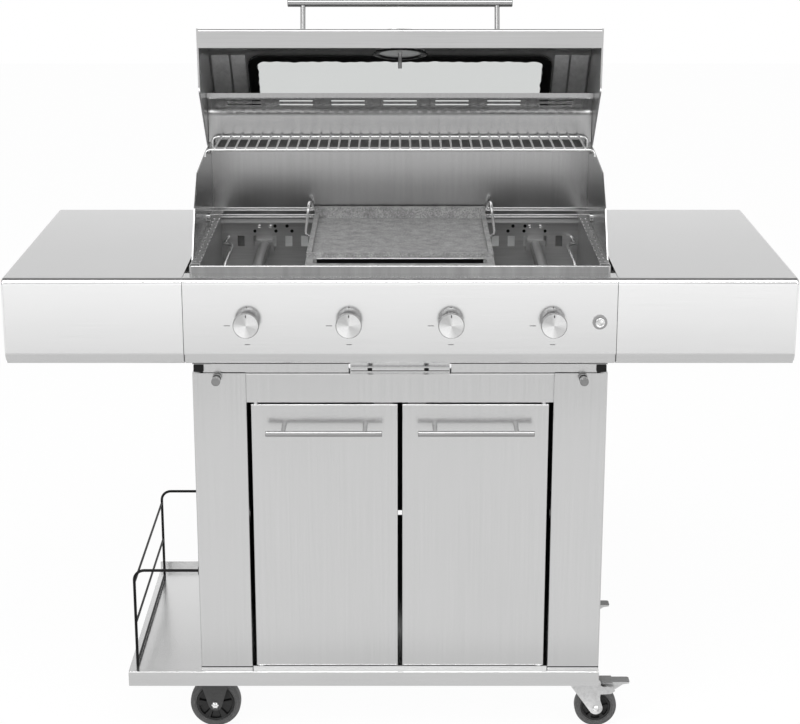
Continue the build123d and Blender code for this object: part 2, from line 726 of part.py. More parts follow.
def warming_rack():
    """Wire rack: bent front and back wires with many thin rods welded on top."""
    foot_x = SIDE_X - SIDE_FLANGE / 2
    back_y = RACK_FRONT_Y + RACK_DEPTH
    wires = []
    for y in (RACK_FRONT_Y, back_y):
        path = [
            (-foot_x, y, SIDE_TOP_Z),
            (-foot_x, y, RACK_Z),
            (foot_x, y, RACK_Z),
            (foot_x, y, SIDE_TOP_Z),
        ]
        wires.append(wire_along(path, RACK_RISE - RACK_WIRE_R, RACK_WIRE_R))
    rod_z = RACK_Z + RACK_WIRE_R
    rod_front = RACK_FRONT_Y - RACK_WIRE_R
    rod_back = back_y + RACK_WIRE_R
    span = 2 * (foot_x - RACK_END_GAP)
    count = int(span / RACK_PITCH) // 2 * 2 + 1
    for i in range(count):
        x = (i - (count - 1) / 2) * RACK_PITCH
        wires.append(rod((x, rod_front, rod_z), (x, rod_back, rod_z), RACK_ROD_R, RACK_ROD_SIDES))
    return wires[0].fuse(*wires[1:])


# Gas train and controls

def gas_valves():
    """Valve bodies with a blind spindle bore and a nozzle that enters the burner."""
    solids = []
    for x in BURNER_X:
        back_y = VALVE_FRONT_Y + VALVE_LEN
        half = VALVE_W / 2
        body = block(x - half, x + half, VALVE_FRONT_Y, back_y, KNOB_Z - half, KNOB_Z + half)
        body += rod((x, back_y, KNOB_Z), (x, back_y + 2 * NOZZLE_R, KNOB_Z), NOZZLE_R)
        bore_end = VALVE_FRONT_Y + VALVE_BORE
        body -= rod((x, VALVE_FRONT_Y - CUT, KNOB_Z), (x, bore_end, KNOB_Z), SPINDLE_R + RUN)
        solids.append(body)
    return Compound(children=solids)


def gas_manifold():
    """Gas pipe under the valves, held on the tub front, with a threaded inlet at the right."""
    left = BURNER_X[0] - VALVE_W
    right = PANEL_W / 2 - MANIFOLD_R
    pipe = rod((left, MANIFOLD_Y, MANIFOLD_Z), (right, MANIFOLD_Y, MANIFOLD_Z), MANIFOLD_R)
    inlet_end = right + INLET_LEN + MANIFOLD_R
    pipe += rod((right, MANIFOLD_Y, MANIFOLD_Z), (inlet_end, MANIFOLD_Y, MANIFOLD_Z), INLET_R)
    for x in (-BURNER_PITCH, BURNER_PITCH):
        pipe += block(
            x - MANIFOLD_R, x + MANIFOLD_R, MANIFOLD_Y, BOX_FRONT_Y - SEAT,
            MANIFOLD_Z - MANIFOLD_R, MANIFOLD_Z + MANIFOLD_R / 2,
        )
    return pipe


def valve_spindle(x):
    """Spindle between knob and valve, resting clear of the bore's end by more than its travel."""
    rest_end = VALVE_FRONT_Y + VALVE_BORE - KNOB_TRAVEL - END_PLAY
    return rod((x, KNOB_FACE_Y + KNOB_CAP, KNOB_Z), (x, rest_end, KNOB_Z), SPINDLE_R)


def knob(x):
    """Turned knob with a flared skirt, a dished face and a pointer groove at the top."""
    bore_r = SPINDLE_R + RUN
    bore_end = KNOB_FACE_Y + KNOB_CAP - SLIDE
    skirt_r = KNOB_R + KNOB_SKIRT
    skirt_y = KNOB_BACK_Y - KNOB_SKIRT_H
    rim_r = KNOB_R - KNOB_EDGE
    dish_r = rim_r - KNOB_RIM
    dish_y = KNOB_FACE_Y + KNOB_DISH
    profile = polygon(
        (bore_r, KNOB_BACK_Y),
        (skirt_r, KNOB_BACK_Y),
        (skirt_r, skirt_y),
        (KNOB_R, skirt_y - KNOB_SKIRT),
        (KNOB_R, KNOB_FACE_Y + KNOB_EDGE),
        (rim_r, KNOB_FACE_Y),
        (dish_r + KNOB_DISH, KNOB_FACE_Y),
        (dish_r, dish_y),
        (0, dish_y),
        (0, bore_end),
        (bore_r, bore_end),
    )
    turned = revolve(Plane.XY * profile, axis=Axis.Y)
    half = POINTER_W / 2
    groove_y = dish_y + KNOB_DISH
    groove = block(-half, half, KNOB_FACE_Y - CUT, groove_y, KNOB_R - POINTER_LEN, KNOB_R + CUT)
    return Pos(x, 0, KNOB_Z) * (turned - groove)


def igniter_body():
    """Igniter barrel behind the panel with its bezel in front."""
    barrel = rod((IGNITER_X, -SHEET, KNOB_Z), (IGNITER_X, IGNITER_LEN, KNOB_Z), IGNITER_R + SHEET)
    bezel = rod((IGNITER_X, -2 * SHEET, KNOB_Z), (IGNITER_X, 0, KNOB_Z), IGNITER_BEZEL_R)
    bore_y = -2 * SHEET - CUT
    bore = rod((IGNITER_X, bore_y, KNOB_Z), (IGNITER_X, IGNITER_BORE, KNOB_Z), IGNITER_R + SLIDE)
    return barrel + bezel - bore


def igniter_button():
    """Push button in the igniter's bore."""
    front = -2 * SHEET - IGNITER_TRAVEL - END_PLAY
    back = IGNITER_BORE - IGNITER_TRAVEL - END_PLAY
    button = rod((IGNITER_X, front, KNOB_Z), (IGNITER_X, back, KNOB_Z), IGNITER_R)
    return chamfer(button.edges().sort_by(Axis.Y)[0], IGNITER_EDGE)


# Hood pieces, drawn closed

def hood_corners():
    """Outer fold points of the closed hood from the lip over the top to the rear edge."""
    lip = (HOOD_LIP_Y, HOOD_LIP_Z)
    brow = step(lip, HOOD_FRONT_DEG, HOOD_FRONT_LEN)
    slope_end = step(brow, HOOD_SLOPE_DEG, HOOD_SLOPE_LEN)
    return lip, brow, slope_end


def swung(solid):
    """A hood piece turned from closed to the open rest pose."""
    return Pos(0, PIVOT_Y, PIVOT_Z) * Rot(-HOOD_OPEN_DEG, 0, 0) * Pos(0, -PIVOT_Y, -PIVOT_Z) * solid


def hood_plane(start, angle, distance):
    """Plane on the hood's outer skin: X across, Y up the slope, Z outward."""
    spot = step(start, angle, distance)
    across, up = unit(angle + 90)
    return Plane(origin=(0, *spot), x_dir=(1, 0, 0), z_dir=(0, across, up))


def window_plane():
    """Plane on the sloped panel at the middle of the window."""
    brow = hood_corners()[1]
    return hood_plane(brow, HOOD_SLOPE_DEG, WINDOW_START + WINDOW_LEN / 2)


def gauge_plane():
    """Plane on the front panel at the thermometer."""
    return hood_plane(hood_corners()[0], HOOD_FRONT_DEG, GAUGE_S)


def hood_shell():
    """Folded hood sheet with the lip flange, the window opening and the thermometer hole."""
    lip, brow, slope_end = hood_corners()
    flange_end = (HOOD_LIP_Y + HOOD_LIP_FLANGE, HOOD_LIP_Z)
    skin = [HOOD_REAR, HOOD_CROWN, slope_end, brow, lip, flange_end]
    shell = along_x(sheet(skin, HOOD_BENDS, HOOD_SHEET), -HOOD_IN_X, HOOD_IN_X)
    opening = RectangleRounded(WINDOW_W, WINDOW_LEN, WINDOW_R)
    shell -= extrude(window_plane() * opening, amount=3 * HOOD_SHEET, both=True)
    shell -= extrude(gauge_plane() * Circle(GAUGE_NECK_R + SEAT), amount=3 * HOOD_SHEET, both=True)
    return shell


def hood_side_right():
    """Side panel that follows the hood's fold, with an ear down to the pivot."""
    lip, brow, slope_end = hood_corners()
    outline = [
        lip,
        brow,
        slope_end,
        HOOD_CROWN,
        HOOD_REAR,
        (HOOD_REAR[0] - EAR_R / 2, HOOD_EAVE_Z),
        (PIVOT_Y - HOOD_EAVE_REACH, HOOD_EAVE_Z),
        (HOOD_LIP_Y + HOOD_CHEEK, HOOD_LIP_Z),
    ]
    radii = [0, HOOD_BENDS[2], HOOD_BENDS[1], HOOD_BENDS[0], 0, 0, EAR_R, EAR_R]
    face = make_face(FilletPolyline(*outline, radius=radii, close=True))
    ear_top = HOOD_EAVE_Z + EAR_R
    ear = Pos(PIVOT_Y, (PIVOT_Z + ear_top) / 2) * Rectangle(2 * EAR_R, ear_top - PIVOT_Z)
    face = face + ear + Pos(PIVOT_Y, PIVOT_Z) * Circle(EAR_R)
    face -= Pos(PIVOT_Y, PIVOT_Z) * Circle(PIVOT_R + RUN)
    return along_x(face, HOOD_IN_X, HOOD_X)


def hood_pivot_bolts():
    """Shoulder bolts through the ears and the side plates, with a spacer collar and a nut."""
    head_end = HOOD_X + SEAT + SIDE_T
    nut_end = SIDE_IN_X - 2 * SIDE_T
    bolt = rod((nut_end, PIVOT_Y, PIVOT_Z), (head_end, PIVOT_Y, PIVOT_Z), PIVOT_R)
    bolt += rod((HOOD_X + SEAT, PIVOT_Y, PIVOT_Z), (head_end, PIVOT_Y, PIVOT_Z), PIVOT_HEAD_R)
    bolt += rod((SIDE_X, PIVOT_Y, PIVOT_Z), (HOOD_IN_X - SEAT, PIVOT_Y, PIVOT_Z), PIVOT_HEAD_R)
    bolt += rod((nut_end, PIVOT_Y, PIVOT_Z), (SIDE_IN_X, PIVOT_Y, PIVOT_Z), PIVOT_HEAD_R)
    return both_sides(bolt)


def hood_handle():
    """Bar on two posts square to the hood's front panel."""
    plane = hood_plane(hood_corners()[0], HOOD_FRONT_DEG, HANDLE_S)
    bar = Pos(0, 0, HANDLE_STANDOFF) * Rot(0, 90, 0) * Cylinder(HANDLE_R, HANDLE_LEN)
    bar = chamfer(bar.edges().filter_by(GeomType.CIRCLE), HANDLE_EDGE)
    for x in (-HANDLE_POST_X, HANDLE_POST_X):
        bar += Pos(x, 0, HANDLE_STANDOFF / 2) * Cylinder(HANDLE_POST_R, HANDLE_STANDOFF)
    return plane * bar


def pane_outline():
    """Outline of the pane, wider than the opening by the seal all round."""
    grow = 2 * WINDOW_SEAL
    return RectangleRounded(WINDOW_W + grow, WINDOW_LEN + grow, WINDOW_R + WINDOW_SEAL)


def window_glass():
    """Toughened pane behind the opening."""
    plate = Pos(0, 0, -HOOD_SHEET - GLASS_T) * extrude(pane_outline(), amount=GLASS_T)
    return window_plane() * plate


def window_seal():
    """Flat seal frame round the pane on the inside."""
    ring = pane_outline() - RectangleRounded(WINDOW_W, WINDOW_LEN, WINDOW_R)
    frame = Pos(0, 0, -HOOD_SHEET - GLASS_T - SEAL_T) * extrude(ring, amount=SEAL_T)
    return window_plane() * frame


def thermometer_case():
    """Dial case outside, cup and probe inside, on one stem through the hood."""
    case = Pos(0, 0, GAUGE_H / 2) * Cylinder(GAUGE_R, GAUGE_H)
    case -= Pos(0, 0, GAUGE_H - GAUGE_DISH / 2) * Cylinder(GAUGE_R - GAUGE_WALL, GAUGE_DISH)
    case += Pos(0, 0, GAUGE_H - GAUGE_DISH + GAUGE_PIN_H / 2) * Cylinder(GAUGE_PIN_R, GAUGE_PIN_H)
    neck = Pos(0, 0, -HOOD_SHEET / 2) * Cylinder(GAUGE_NECK_R, HOOD_SHEET)
    cup = Pos(0, 0, -HOOD_SHEET - GAUGE_BACK_H / 2) * Cylinder(GAUGE_BACK_R, GAUGE_BACK_H)
    probe = Pos(0, 0, -GAUGE_STEM_LEN / 2) * Cylinder(GAUGE_STEM_R, GAUGE_STEM_LEN)
    return gauge_plane() * (case + neck + cup + probe)


def thermometer_lens():
    """Flat glass in the rim of the case."""
    lens = Pos(0, 0, GAUGE_H - GAUGE_LENS_DROP) * Cylinder(GAUGE_R - GAUGE_WALL - SEAT, GAUGE_LENS_T)
    return gauge_plane() * lens


def thermometer_needle():
    """Pointer on the dial's pin."""
    height = GAUGE_H - GAUGE_DISH + NEEDLE_LIFT
    needle = Pos(0, 0, height) * Cylinder(NEEDLE_HUB_R, NEEDLE_T)
    needle += Pos(0, NEEDLE_LEN / 2, height) * Box(NEEDLE_W, NEEDLE_LEN, NEEDLE_T)
    needle -= Pos(0, 0, height) * Cylinder(GAUGE_PIN_R + RUN, NEEDLE_T + 2 * CUT)
    return gauge_plane() * needle


# Cart pieces

def cart_side_left():
    """Folded side panel: post return, post, side and rear flange, with a top flange."""
    skin = [
        (-POST_IN_X, CART_FRONT_Y + POST_RETURN),
        (-POST_IN_X, CART_FRONT_Y),
        (-CART_X, CART_FRONT_Y),
        (-CART_X, CART_BACK_Y),
        (-CART_X + CART_REAR_FLANGE, CART_BACK_Y),
    ]
    skin = list(reversed(skin))
    panel = along_z(sheet(skin, 3 * [FOLD_R], SHEET), BASE_Z, CART_TOP_Z)
    top = block(
        -CART_X + SHEET, -CART_X + CART_TOP_FLANGE, CART_FRONT_Y + SHEET, CART_BACK_Y - SHEET,
        CART_TOP_Z - SHEET, CART_TOP_Z,
    )
    return panel + top


def cart_back_panel():
    """Back panel inside the rear flanges with two rows of vents."""
    y0 = CART_BACK_Y - 2 * SHEET
    half = CART_X - CART_REAR_FLANGE / 2
    panel = block(-half, half, y0, y0 + SHEET, BASE_Z, CART_TOP_Z - HEADER_H)
    spots = GridLocations(VENT_PITCH, BACK_VENT_SPREAD, BACK_VENT_COUNT, 2)
    vents = Sketch() + [loc * Rectangle(VENT_LEN, 2 * VENT_H) for loc in spots]
    middle = (BASE_Z + CART_TOP_Z) / 2
    return panel - along_y(Pos(0, middle) * vents, y0 - CUT, y0 + SHEET + CUT)


def cart_header():
    """Header between the posts, folded into a hinge shelf below, with two magnet catches."""
    skin = [
        (CART_FRONT_Y + HEADER_SHELF, CART_TOP_Z),
        (CART_FRONT_Y, CART_TOP_Z),
        (CART_FRONT_Y, HEADER_Z),
        (CART_FRONT_Y + HEADER_SHELF, HEADER_Z),
    ]
    header = along_x(sheet(skin, 2 * [FOLD_R], SHEET), -POST_IN_X, POST_IN_X)
    for x in (-HINGE_X, HINGE_X):
        header -= rod((x, HINGE_Y, HEADER_Z - CUT), (x, HINGE_Y, HEADER_Z + SHEET + CUT), HINGE_R + RUN)
    catch_y = CART_FRONT_Y + DOOR_T + SEAT
    catch = block(
        DOOR_IN_X + CATCH_T, DOOR_IN_X + CATCH_T + CATCH_W, catch_y, catch_y + CATCH_T,
        HEADER_Z - CATCH_T, HEADER_Z,
    )
    return Compound(children=[header, catch, mirrored(catch)])


def head_rails():
    """Two angle rails on the header that leave the middle free for the grease tray."""
    inner = TRAY_LIP_W / 2 + SIDE_PLAY
    front_y = CART_FRONT_Y + SHEET
    skin = [
        (front_y, BOX_FOOT_Z),
        (front_y, CART_TOP_Z),
        (CART_FRONT_Y + HEADER_SHELF, CART_TOP_Z),
    ]
    rail = along_x(sheet(skin, [FOLD_R], SHEET), inner, CART_X - HEAD_RAIL_INSET)
    return both_sides(rail)


def head_spacers():
    """Round spacers between the cart's right top flange and the firebox foot."""
    solids = []
    x = SIDE_X - FOOT_FLANGE / 2
    for y in (CASTERS_Y["front"], BOX_BACK_Y - FOOT_FLANGE):
        solids.append(rod((x, y, CART_TOP_Z), (x, y, BOX_FOOT_Z), SPACER_R))
    return solids


def head_mounts():
    """Spacers under the firebox and brackets for the shelves, on both sides."""
    right = [*head_spacers(), *shelf_brackets()]
    return Compound(children=[*right, *[mirrored(solid) for solid in right]])


def door_left():
    """Pan door with hinge holes in its top and bottom returns."""
    back_y = CART_FRONT_Y + DOOR_T
    pan = block(-DOOR_OUT_X, -DOOR_IN_X, CART_FRONT_Y, back_y, DOOR_FOOT_Z, DOOR_TOP_Z)
    pan = fillet(pan.faces().sort_by(Axis.Y)[0].edges(), DOOR_EDGE_R)
    pan -= block(
        -DOOR_OUT_X + SHEET, -DOOR_IN_X - SHEET, CART_FRONT_Y + SHEET, back_y + CUT,
        DOOR_FOOT_Z + SHEET, DOOR_TOP_Z - SHEET,
    )
    for z in (DOOR_FOOT_Z, DOOR_TOP_Z - SHEET):
        pan -= rod((-HINGE_X, HINGE_Y, z - CUT), (-HINGE_X, HINGE_Y, z + SHEET + CUT), HINGE_R + RUN)
    return pan


def door_handle_left():
    """Bar handle on two posts."""
    centre = -(DOOR_OUT_X + DOOR_IN_X) / 2
    z = DOOR_TOP_Z - BAR_DROP
    y = CART_FRONT_Y - BAR_STANDOFF
    bar = rod((centre - BAR_LEN / 2, y, z), (centre + BAR_LEN / 2, y, z), BAR_R)
    bar = chamfer(bar.edges().filter_by(GeomType.CIRCLE), BAR_EDGE)
    for x in (centre - BAR_POST_SPACING / 2, centre + BAR_POST_SPACING / 2):
        bar += rod((x, y, z), (x, CART_FRONT_Y, z), BAR_POST_R)
    return bar


def door_hinge_pins():
    """Top pins in the header shelf and bottom pins with a collar on the base."""
    pin_end = HEADER_Z + 3 * SHEET
    top = rod((HINGE_X, HINGE_Y, DOOR_TOP_Z - DOOR_FOOT_GAP), (HINGE_X, HINGE_Y, pin_end), HINGE_R)
    top += rod((HINGE_X, HINGE_Y, HEADER_Z + SHEET), (HINGE_X, HINGE_Y, pin_end), HINGE_COLLAR_R)
    foot_top = DOOR_FOOT_Z + 2 * DOOR_FOOT_GAP
    foot = rod((HINGE_X, HINGE_Y, BASE_Z), (HINGE_X, HINGE_Y, foot_top), HINGE_R)
    foot += rod((HINGE_X, HINGE_Y, BASE_Z), (HINGE_X, HINGE_Y, DOOR_FOOT_Z - SEAT), HINGE_COLLAR_R)
    return Compound(children=[top, foot, mirrored(top), mirrored(foot)])


def tool_pegs():
    """Turned hanging pegs on the posts."""
    end_y = CART_FRONT_Y - PEG_LEN
    neck = rod((PEG_X, CART_FRONT_Y, PEG_Z), (PEG_X, end_y, PEG_Z), PEG_NECK_R)
    head = rod((PEG_X, end_y + PEG_HEAD_LEN, PEG_Z), (PEG_X, end_y, PEG_Z), PEG_R)
    foot = rod((PEG_X, CART_FRONT_Y, PEG_Z), (PEG_X, CART_FRONT_Y - SIDE_T, PEG_Z), PEG_R)
    peg = neck + head + foot
    return both_sides(chamfer(peg.edges().sort_by(Axis.Y)[0], PEG_EDGE))


# Grease tray

def tray_runners():
    """Folded runners under the tub floor that carry the tray's flanges."""
    inner = TRAY_W / 2 + SIDE_PLAY
    web = TRAY_W / 2 + TRAY_FLANGE + SIDE_PLAY
    slope = (TUB_EDGE_Z - TUB_SPOUT_Z) / (TUB_X - SPOUT_W / 2)
    floor_z = TUB_SPOUT_Z + (web - RUNNER_T - SPOUT_W / 2) * slope
    top = floor_z - SHEET * math.hypot(1, slope) - SEAT
    shelf_z = TRAY_HANG_Z - SEAT
    skin = [(web, top), (web, shelf_z), (inner, shelf_z)]
    front_y = TRAY_FRONT_Y + TRAY_LIP + POST_RETURN
    runner = along_y(sheet(skin, [FOLD_R], RUNNER_T), front_y, BOX_BACK_Y - POST_RETURN)
    return both_sides(runner)


def grease_tray():
    """Pan with side flanges and a front lip to pull it by."""
    half = TRAY_W / 2
    front = TRAY_FRONT_Y
    back = front + TRAY_LEN
    top = TRAY_Z + TRAY_H
    pan = block(-half, half, front, back, TRAY_Z, top)
    pan -= block(-half + SHEET, half - SHEET, front + SHEET, back - SHEET, TRAY_Z + SHEET, top + CUT)
    for sign in (-1, 1):
        x0, x1 = sorted((sign * (half - SHEET), sign * (half + TRAY_FLANGE)))
        pan += block(x0, x1, front + 2 * POST_RETURN, back, top - SHEET, top)
    lip_half = TRAY_LIP_W / 2
    pan += block(-lip_half, lip_half, front - SHEET, front, TRAY_Z - SHEET, top)
    pan += block(-lip_half, lip_half, front - TRAY_LIP, front, TRAY_Z - SHEET, TRAY_Z)
    return pan


# Base and casters

def base_tray():
    """Folded base pan with a raised lip round the left overhang."""
    pan = block(BASE_LEFT_X, CART_X, BASE_FRONT_Y, BASE_BACK_Y, BASE_FOOT_Z, BASE_Z)
    pan -= block(
        BASE_LEFT_X + BASE_T, CART_X - BASE_T, BASE_FRONT_Y + BASE_T, BASE_BACK_Y - BASE_T,
        BASE_FOOT_Z - CUT, BASE_Z - BASE_T,
    )
    front_edge = pan.faces().sort_by(Axis.Y)[0].edges().sort_by(Axis.Z)[-1]
    pan = fillet(front_edge, BASE_EDGE_R)
    lip_end = -CART_X - SIDE_PLAY
    pan += block(BASE_LEFT_X, lip_end, BASE_BACK_Y - BASE_T, BASE_BACK_Y, BASE_Z, BASE_Z + BASE_LIP)
    return pan


def caster_rails():
    """Channels under the base that carry the casters."""
    solids = []
    top = BASE_Z - BASE_T
    for x in (FIXED_X, SWIVEL_X):
        half = min(CHANNEL_W / 2, CART_X - BASE_T - abs(x))
        skin = [(x + half, top), (x + half, BASE_FOOT_Z), (x - half, BASE_FOOT_Z), (x - half, top)]
        face = sheet(list(reversed(skin)), 2 * [CHANNEL_BEND_R], SHEET)
        solids.append(along_y(face, BASE_FRONT_Y + BASE_T, BASE_BACK_Y - BASE_T))
    return Compound(children=solids)


def side_rack_rail():
    """Wire guard: two bent uprights with three rods between them, in the cart side and the base."""
    wall_x = -CART_X
    front_y = BASE_FRONT_Y + RAIL_FRONT_IN
    back_y = BASE_BACK_Y - RAIL_BACK_IN
    wires = []
    for y in (front_y, back_y):
        path = [(wall_x, y, RAIL_TOP_Z), (RAIL_WIRE_X, y, RAIL_TOP_Z), (RAIL_WIRE_X, y, BASE_Z)]
        wires.append(wire_along(path, RAIL_CORNER_R, RAIL_WIRE_R))
        wires.append(rod((wall_x, y, RAIL_TOP_Z), (wall_x - SIDE_T, y, RAIL_TOP_Z), RAIL_WASHER_R))
    for height in RAIL_RODS_H:
        z = BASE_Z + height
        wires.append(rod((RAIL_WIRE_X, front_y, z), (RAIL_WIRE_X, back_y, z), RAIL_ROD_R))
    return wires[0].fuse(*wires[1:])


def wheel(radius, width):
    """Wheel about the Y axis: recessed hub and crowned tyre as two solids."""
    bore = AXLE_R + RUN
    rim = radius - TYRE_H
    half = width / 2
    web = half - HUB_RECESS
    edge = half - TYRE_INSET
    hub = polygon(
        (bore, -half), (HUB_R, -half), (HUB_R + CUT, -web), (rim - RIM_T - CUT, -web),
        (rim - RIM_T, -edge), (rim, -edge), (rim, edge), (rim - RIM_T, edge),
        (rim - RIM_T - CUT, web), (HUB_R + CUT, web), (HUB_R, half), (bore, half),
    )
    tyre = polygon(
        (rim, -edge), (radius - TYRE_CROWN, -edge), (radius, TYRE_CROWN - edge),
        (radius, edge - TYRE_CROWN), (radius - TYRE_CROWN, edge), (rim, edge),
    )
    return [revolve(Plane.XY * face, axis=Axis.Y) for face in (hub, tyre)]


def wheel_at(x, y, radius, width):
    """Wheel standing on the floor."""
    return Compound(children=[Pos(x, y, radius) * solid for solid in wheel(radius, width)])


def fork_cheek(top_w, top_z, offset, axle_z):
    """Cheek plate outline in X and Z that narrows round the axle."""
    crown = Pos(0, top_z - FORK_T / 2) * Rectangle(top_w, FORK_T)
    eye = Pos(offset, axle_z) * Circle(AXLE_EYE_R)
    return make_hull([*crown.edges(), *eye.edges()])


def fork(top_w, top_z, offset, axle_z, width):
    """Crown plate with two cheeks and a fixed axle, about the caster's own axis."""
    inner = width / 2 + FORK_GAP
    outer = inner + FORK_T
    cheek = fork_cheek(top_w, top_z, offset, axle_z)
    body = along_y(cheek, inner, outer) + along_y(cheek, -outer, -inner)
    body += block(-top_w / 2, top_w / 2, -outer, outer, top_z - FORK_T, top_z)
    axle = rod((offset, -outer - FORK_T, axle_z), (offset, outer + FORK_T, axle_z), AXLE_R)
    return body - axle, axle


def rigid_caster_forks():
    """Fixed forks with their plates and axles."""
    solids = []
    for y in CASTERS_Y.values():
        body, axle = fork(PLATE_L, BASE_FOOT_Z, 0, FIXED_WHEEL_R, FIXED_WHEEL_W)
        solids.extend(Pos(FIXED_X, y, 0) * solid for solid in (body, axle))
    return Compound(children=solids)


def swivel_caster_plates():
    """Mounting plates with the upper race and the king pin."""
    plate_z = BASE_FOOT_Z - PLATE_T
    pin_end = SWIVEL_RACE_Z - FORK_T - 2 * SLIDE - PLATE_T
    solids = []
    for y in CASTERS_Y.values():
        plate = block(-PLATE_L / 2, PLATE_L / 2, -PLATE_W / 2, PLATE_W / 2, plate_z, BASE_FOOT_Z)
        plate += rod((0, 0, SWIVEL_RACE_Z), (0, 0, plate_z), RACE_R)
        plate += rod((0, 0, pin_end), (0, 0, SWIVEL_RACE_Z), KING_PIN_R)
        plate += rod((0, 0, pin_end), (0, 0, pin_end + PLATE_T), KING_HEAD_R)
        solids.append(Pos(SWIVEL_X, y, 0) * plate)
    return Compound(children=solids)


def swivel_fork(y):
    """Swivel fork with its axle and the pin of the brake pedal."""
    top_z = SWIVEL_RACE_Z - SLIDE
    body, axle = fork(CROWN_W, top_z, SWIVEL_TRAIL, SWIVEL_WHEEL_R, SWIVEL_WHEEL_W)
    body -= rod((0, 0, top_z - FORK_T - CUT), (0, 0, top_z + CUT), KING_PIN_R + RUN)
    reach = SWIVEL_WHEEL_W / 2 + FORK_GAP + FORK_T
    for y0, y1 in ((reach - FORK_T, reach), (-reach, -reach + FORK_T)):
        body += rod((PEDAL_PIN_X, y0, PEDAL_PIN_Z), (PEDAL_PIN_X, y1, PEDAL_PIN_Z), PEDAL_TAB_R)
    body += rod((PEDAL_PIN_X, -reach, PEDAL_PIN_Z), (PEDAL_PIN_X, reach, PEDAL_PIN_Z), PEDAL_PIN_R)
    return Compound(children=[Pos(SWIVEL_X, y, 0) * solid for solid in (body, axle)])


def brake_pedal(y):
    """Pedal on its pin, with an upturned toe."""
    half = PEDAL_W / 2
    toe_x = PEDAL_LEN - PEDAL_TOE
    lever = [
        (0, -PEDAL_ROOT),
        (toe_x, -PEDAL_T),
        (PEDAL_LEN, 0),
        (PEDAL_LEN, PEDAL_T),
        (toe_x, 0),
        (0, PEDAL_ROOT),
    ]
    pedal = along_y(polygon(*lever), -half, half)
    pedal += rod((0, -half, 0), (0, half, 0), PEDAL_HUB_R)
    pedal -= rod((0, -half - CUT, 0), (0, half + CUT, 0), PEDAL_PIN_R + RUN)
    return Pos(SWIVEL_X + PEDAL_PIN_X, y, PEDAL_PIN_Z) * pedal


# All nodes

def build_nodes():
    """Every node of the grill by name, before centring."""
    nodes = {
        "base_tray": base_tray(),
        "caster_rails": caster_rails(),
        "cart_side_left": cart_side_left(),
        "cart_side_right": mirrored(cart_side_left()),
        "cart_back_panel": cart_back_panel(),
        "cart_header": cart_header(),
        "head_rails": head_rails(),
        "head_mounts": head_mounts(),
        "door_hinge_pins": door_hinge_pins(),
        "side_rack_rail": side_rack_rail(),
        "tool_pegs": tool_pegs(),
        "rigid_caster_forks": rigid_caster_forks(),
        "swivel_caster_plates": swivel_caster_plates(),
        "firebox_tub": firebox_tub(),
        "firebox_side_left": mirrored(firebox_side_right()),
        "firebox_side_right": firebox_side_right(),
        "rear_wall": rear_wall(),
        "burners": burners(),
        "igniter_electrodes": igniter_electrodes(),
        "griddle": griddle(),
        "warming_rack": warming_rack(),
        "control_panel": control_panel(),
        "gas_valves": gas_valves(),
        "gas_manifold": gas_manifold(),
        "igniter_body": igniter_body(),
        "igniter_button": igniter_button(),
        "shelf_left": shelf_left(),
        "shelf_right": mirrored(shelf_left()),
        "tray_runners": tray_runners(),
        "grease_tray": grease_tray(),
        "hood_pivot_bolts": hood_pivot_bolts(),
        "hood_shell": swung(hood_shell()),
        "hood_side_left": swung(mirrored(hood_side_right())),
        "hood_side_right": swung(hood_side_right()),
        "hood_handle": swung(hood_handle()),
        "window_glass": swung(window_glass()),
        "window_seal": swung(window_seal()),
        "thermometer_case": swung(thermometer_case()),
        "thermometer_lens": swung(thermometer_lens()),
        "thermometer_needle": swung(thermometer_needle()),
        "door_left": door_left(),
        "door_right": mirrored(door_left()),
        "door_handle_left": door_handle_left(),
        "door_handle_right": mirrored(door_handle_left()),
    }
    for number, x in enumerate(BURNER_X, start=1):
        nodes[f"valve_spindle_{number}"] = valve_spindle(x)
        nodes[f"knob_{number}"] = knob(x)
    for place, y in CASTERS_Y.items():
        nodes[f"wheel_left_{place}"] = wheel_at(FIXED_X, y, FIXED_WHEEL_R, FIXED_WHEEL_W)
        wheel_x = SWIVEL_X + SWIVEL_TRAIL
        nodes[f"wheel_right_{place}"] = wheel_at(wheel_x, y, SWIVEL_WHEEL_R, SWIVEL_WHEEL_W)
        nodes[f"swivel_fork_{place}"] = swivel_fork(y)
        nodes[f"brake_pedal_{place}"] = brake_pedal(y)
    return nodes


NODES = build_nodes()
BOUNDS = [solid.bounding_box() for solid in NODES.values()]
SHIFT_X = -(min(b.min.X for b in BOUNDS) + max(b.max.X for b in BOUNDS)) / 2
SHIFT_Y = -(min(b.min.Y for b in BOUNDS) + max(b.max.Y for b in BOUNDS)) / 2

os.makedirs("parts", exist_ok=True)
for name, node in NODES.items():
    centred = Pos(SHIFT_X, SHIFT_Y, 0) * node
    export_step(Compound(centred.solids()), f"parts/{name}.step")
print(len(NODES), "nodes, shift", round(SHIFT_X, 3), round(SHIFT_Y, 3))
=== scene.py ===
# %% [markdown]
# # A gas grill on its cart, dressed in Blender
#
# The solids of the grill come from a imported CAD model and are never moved. This notebook gives every
# sheet, casting, tyre and pane the finish of the real thing, replaces the plain knobs, wheels and seals by
# finer surfaces, and sets up the camera and the soft light of a catalogue photograph.
# Pieces are drawn in millimetres from the control panel's plane and the floor; camera and stage are in metres.

# %% Load the frame
import math

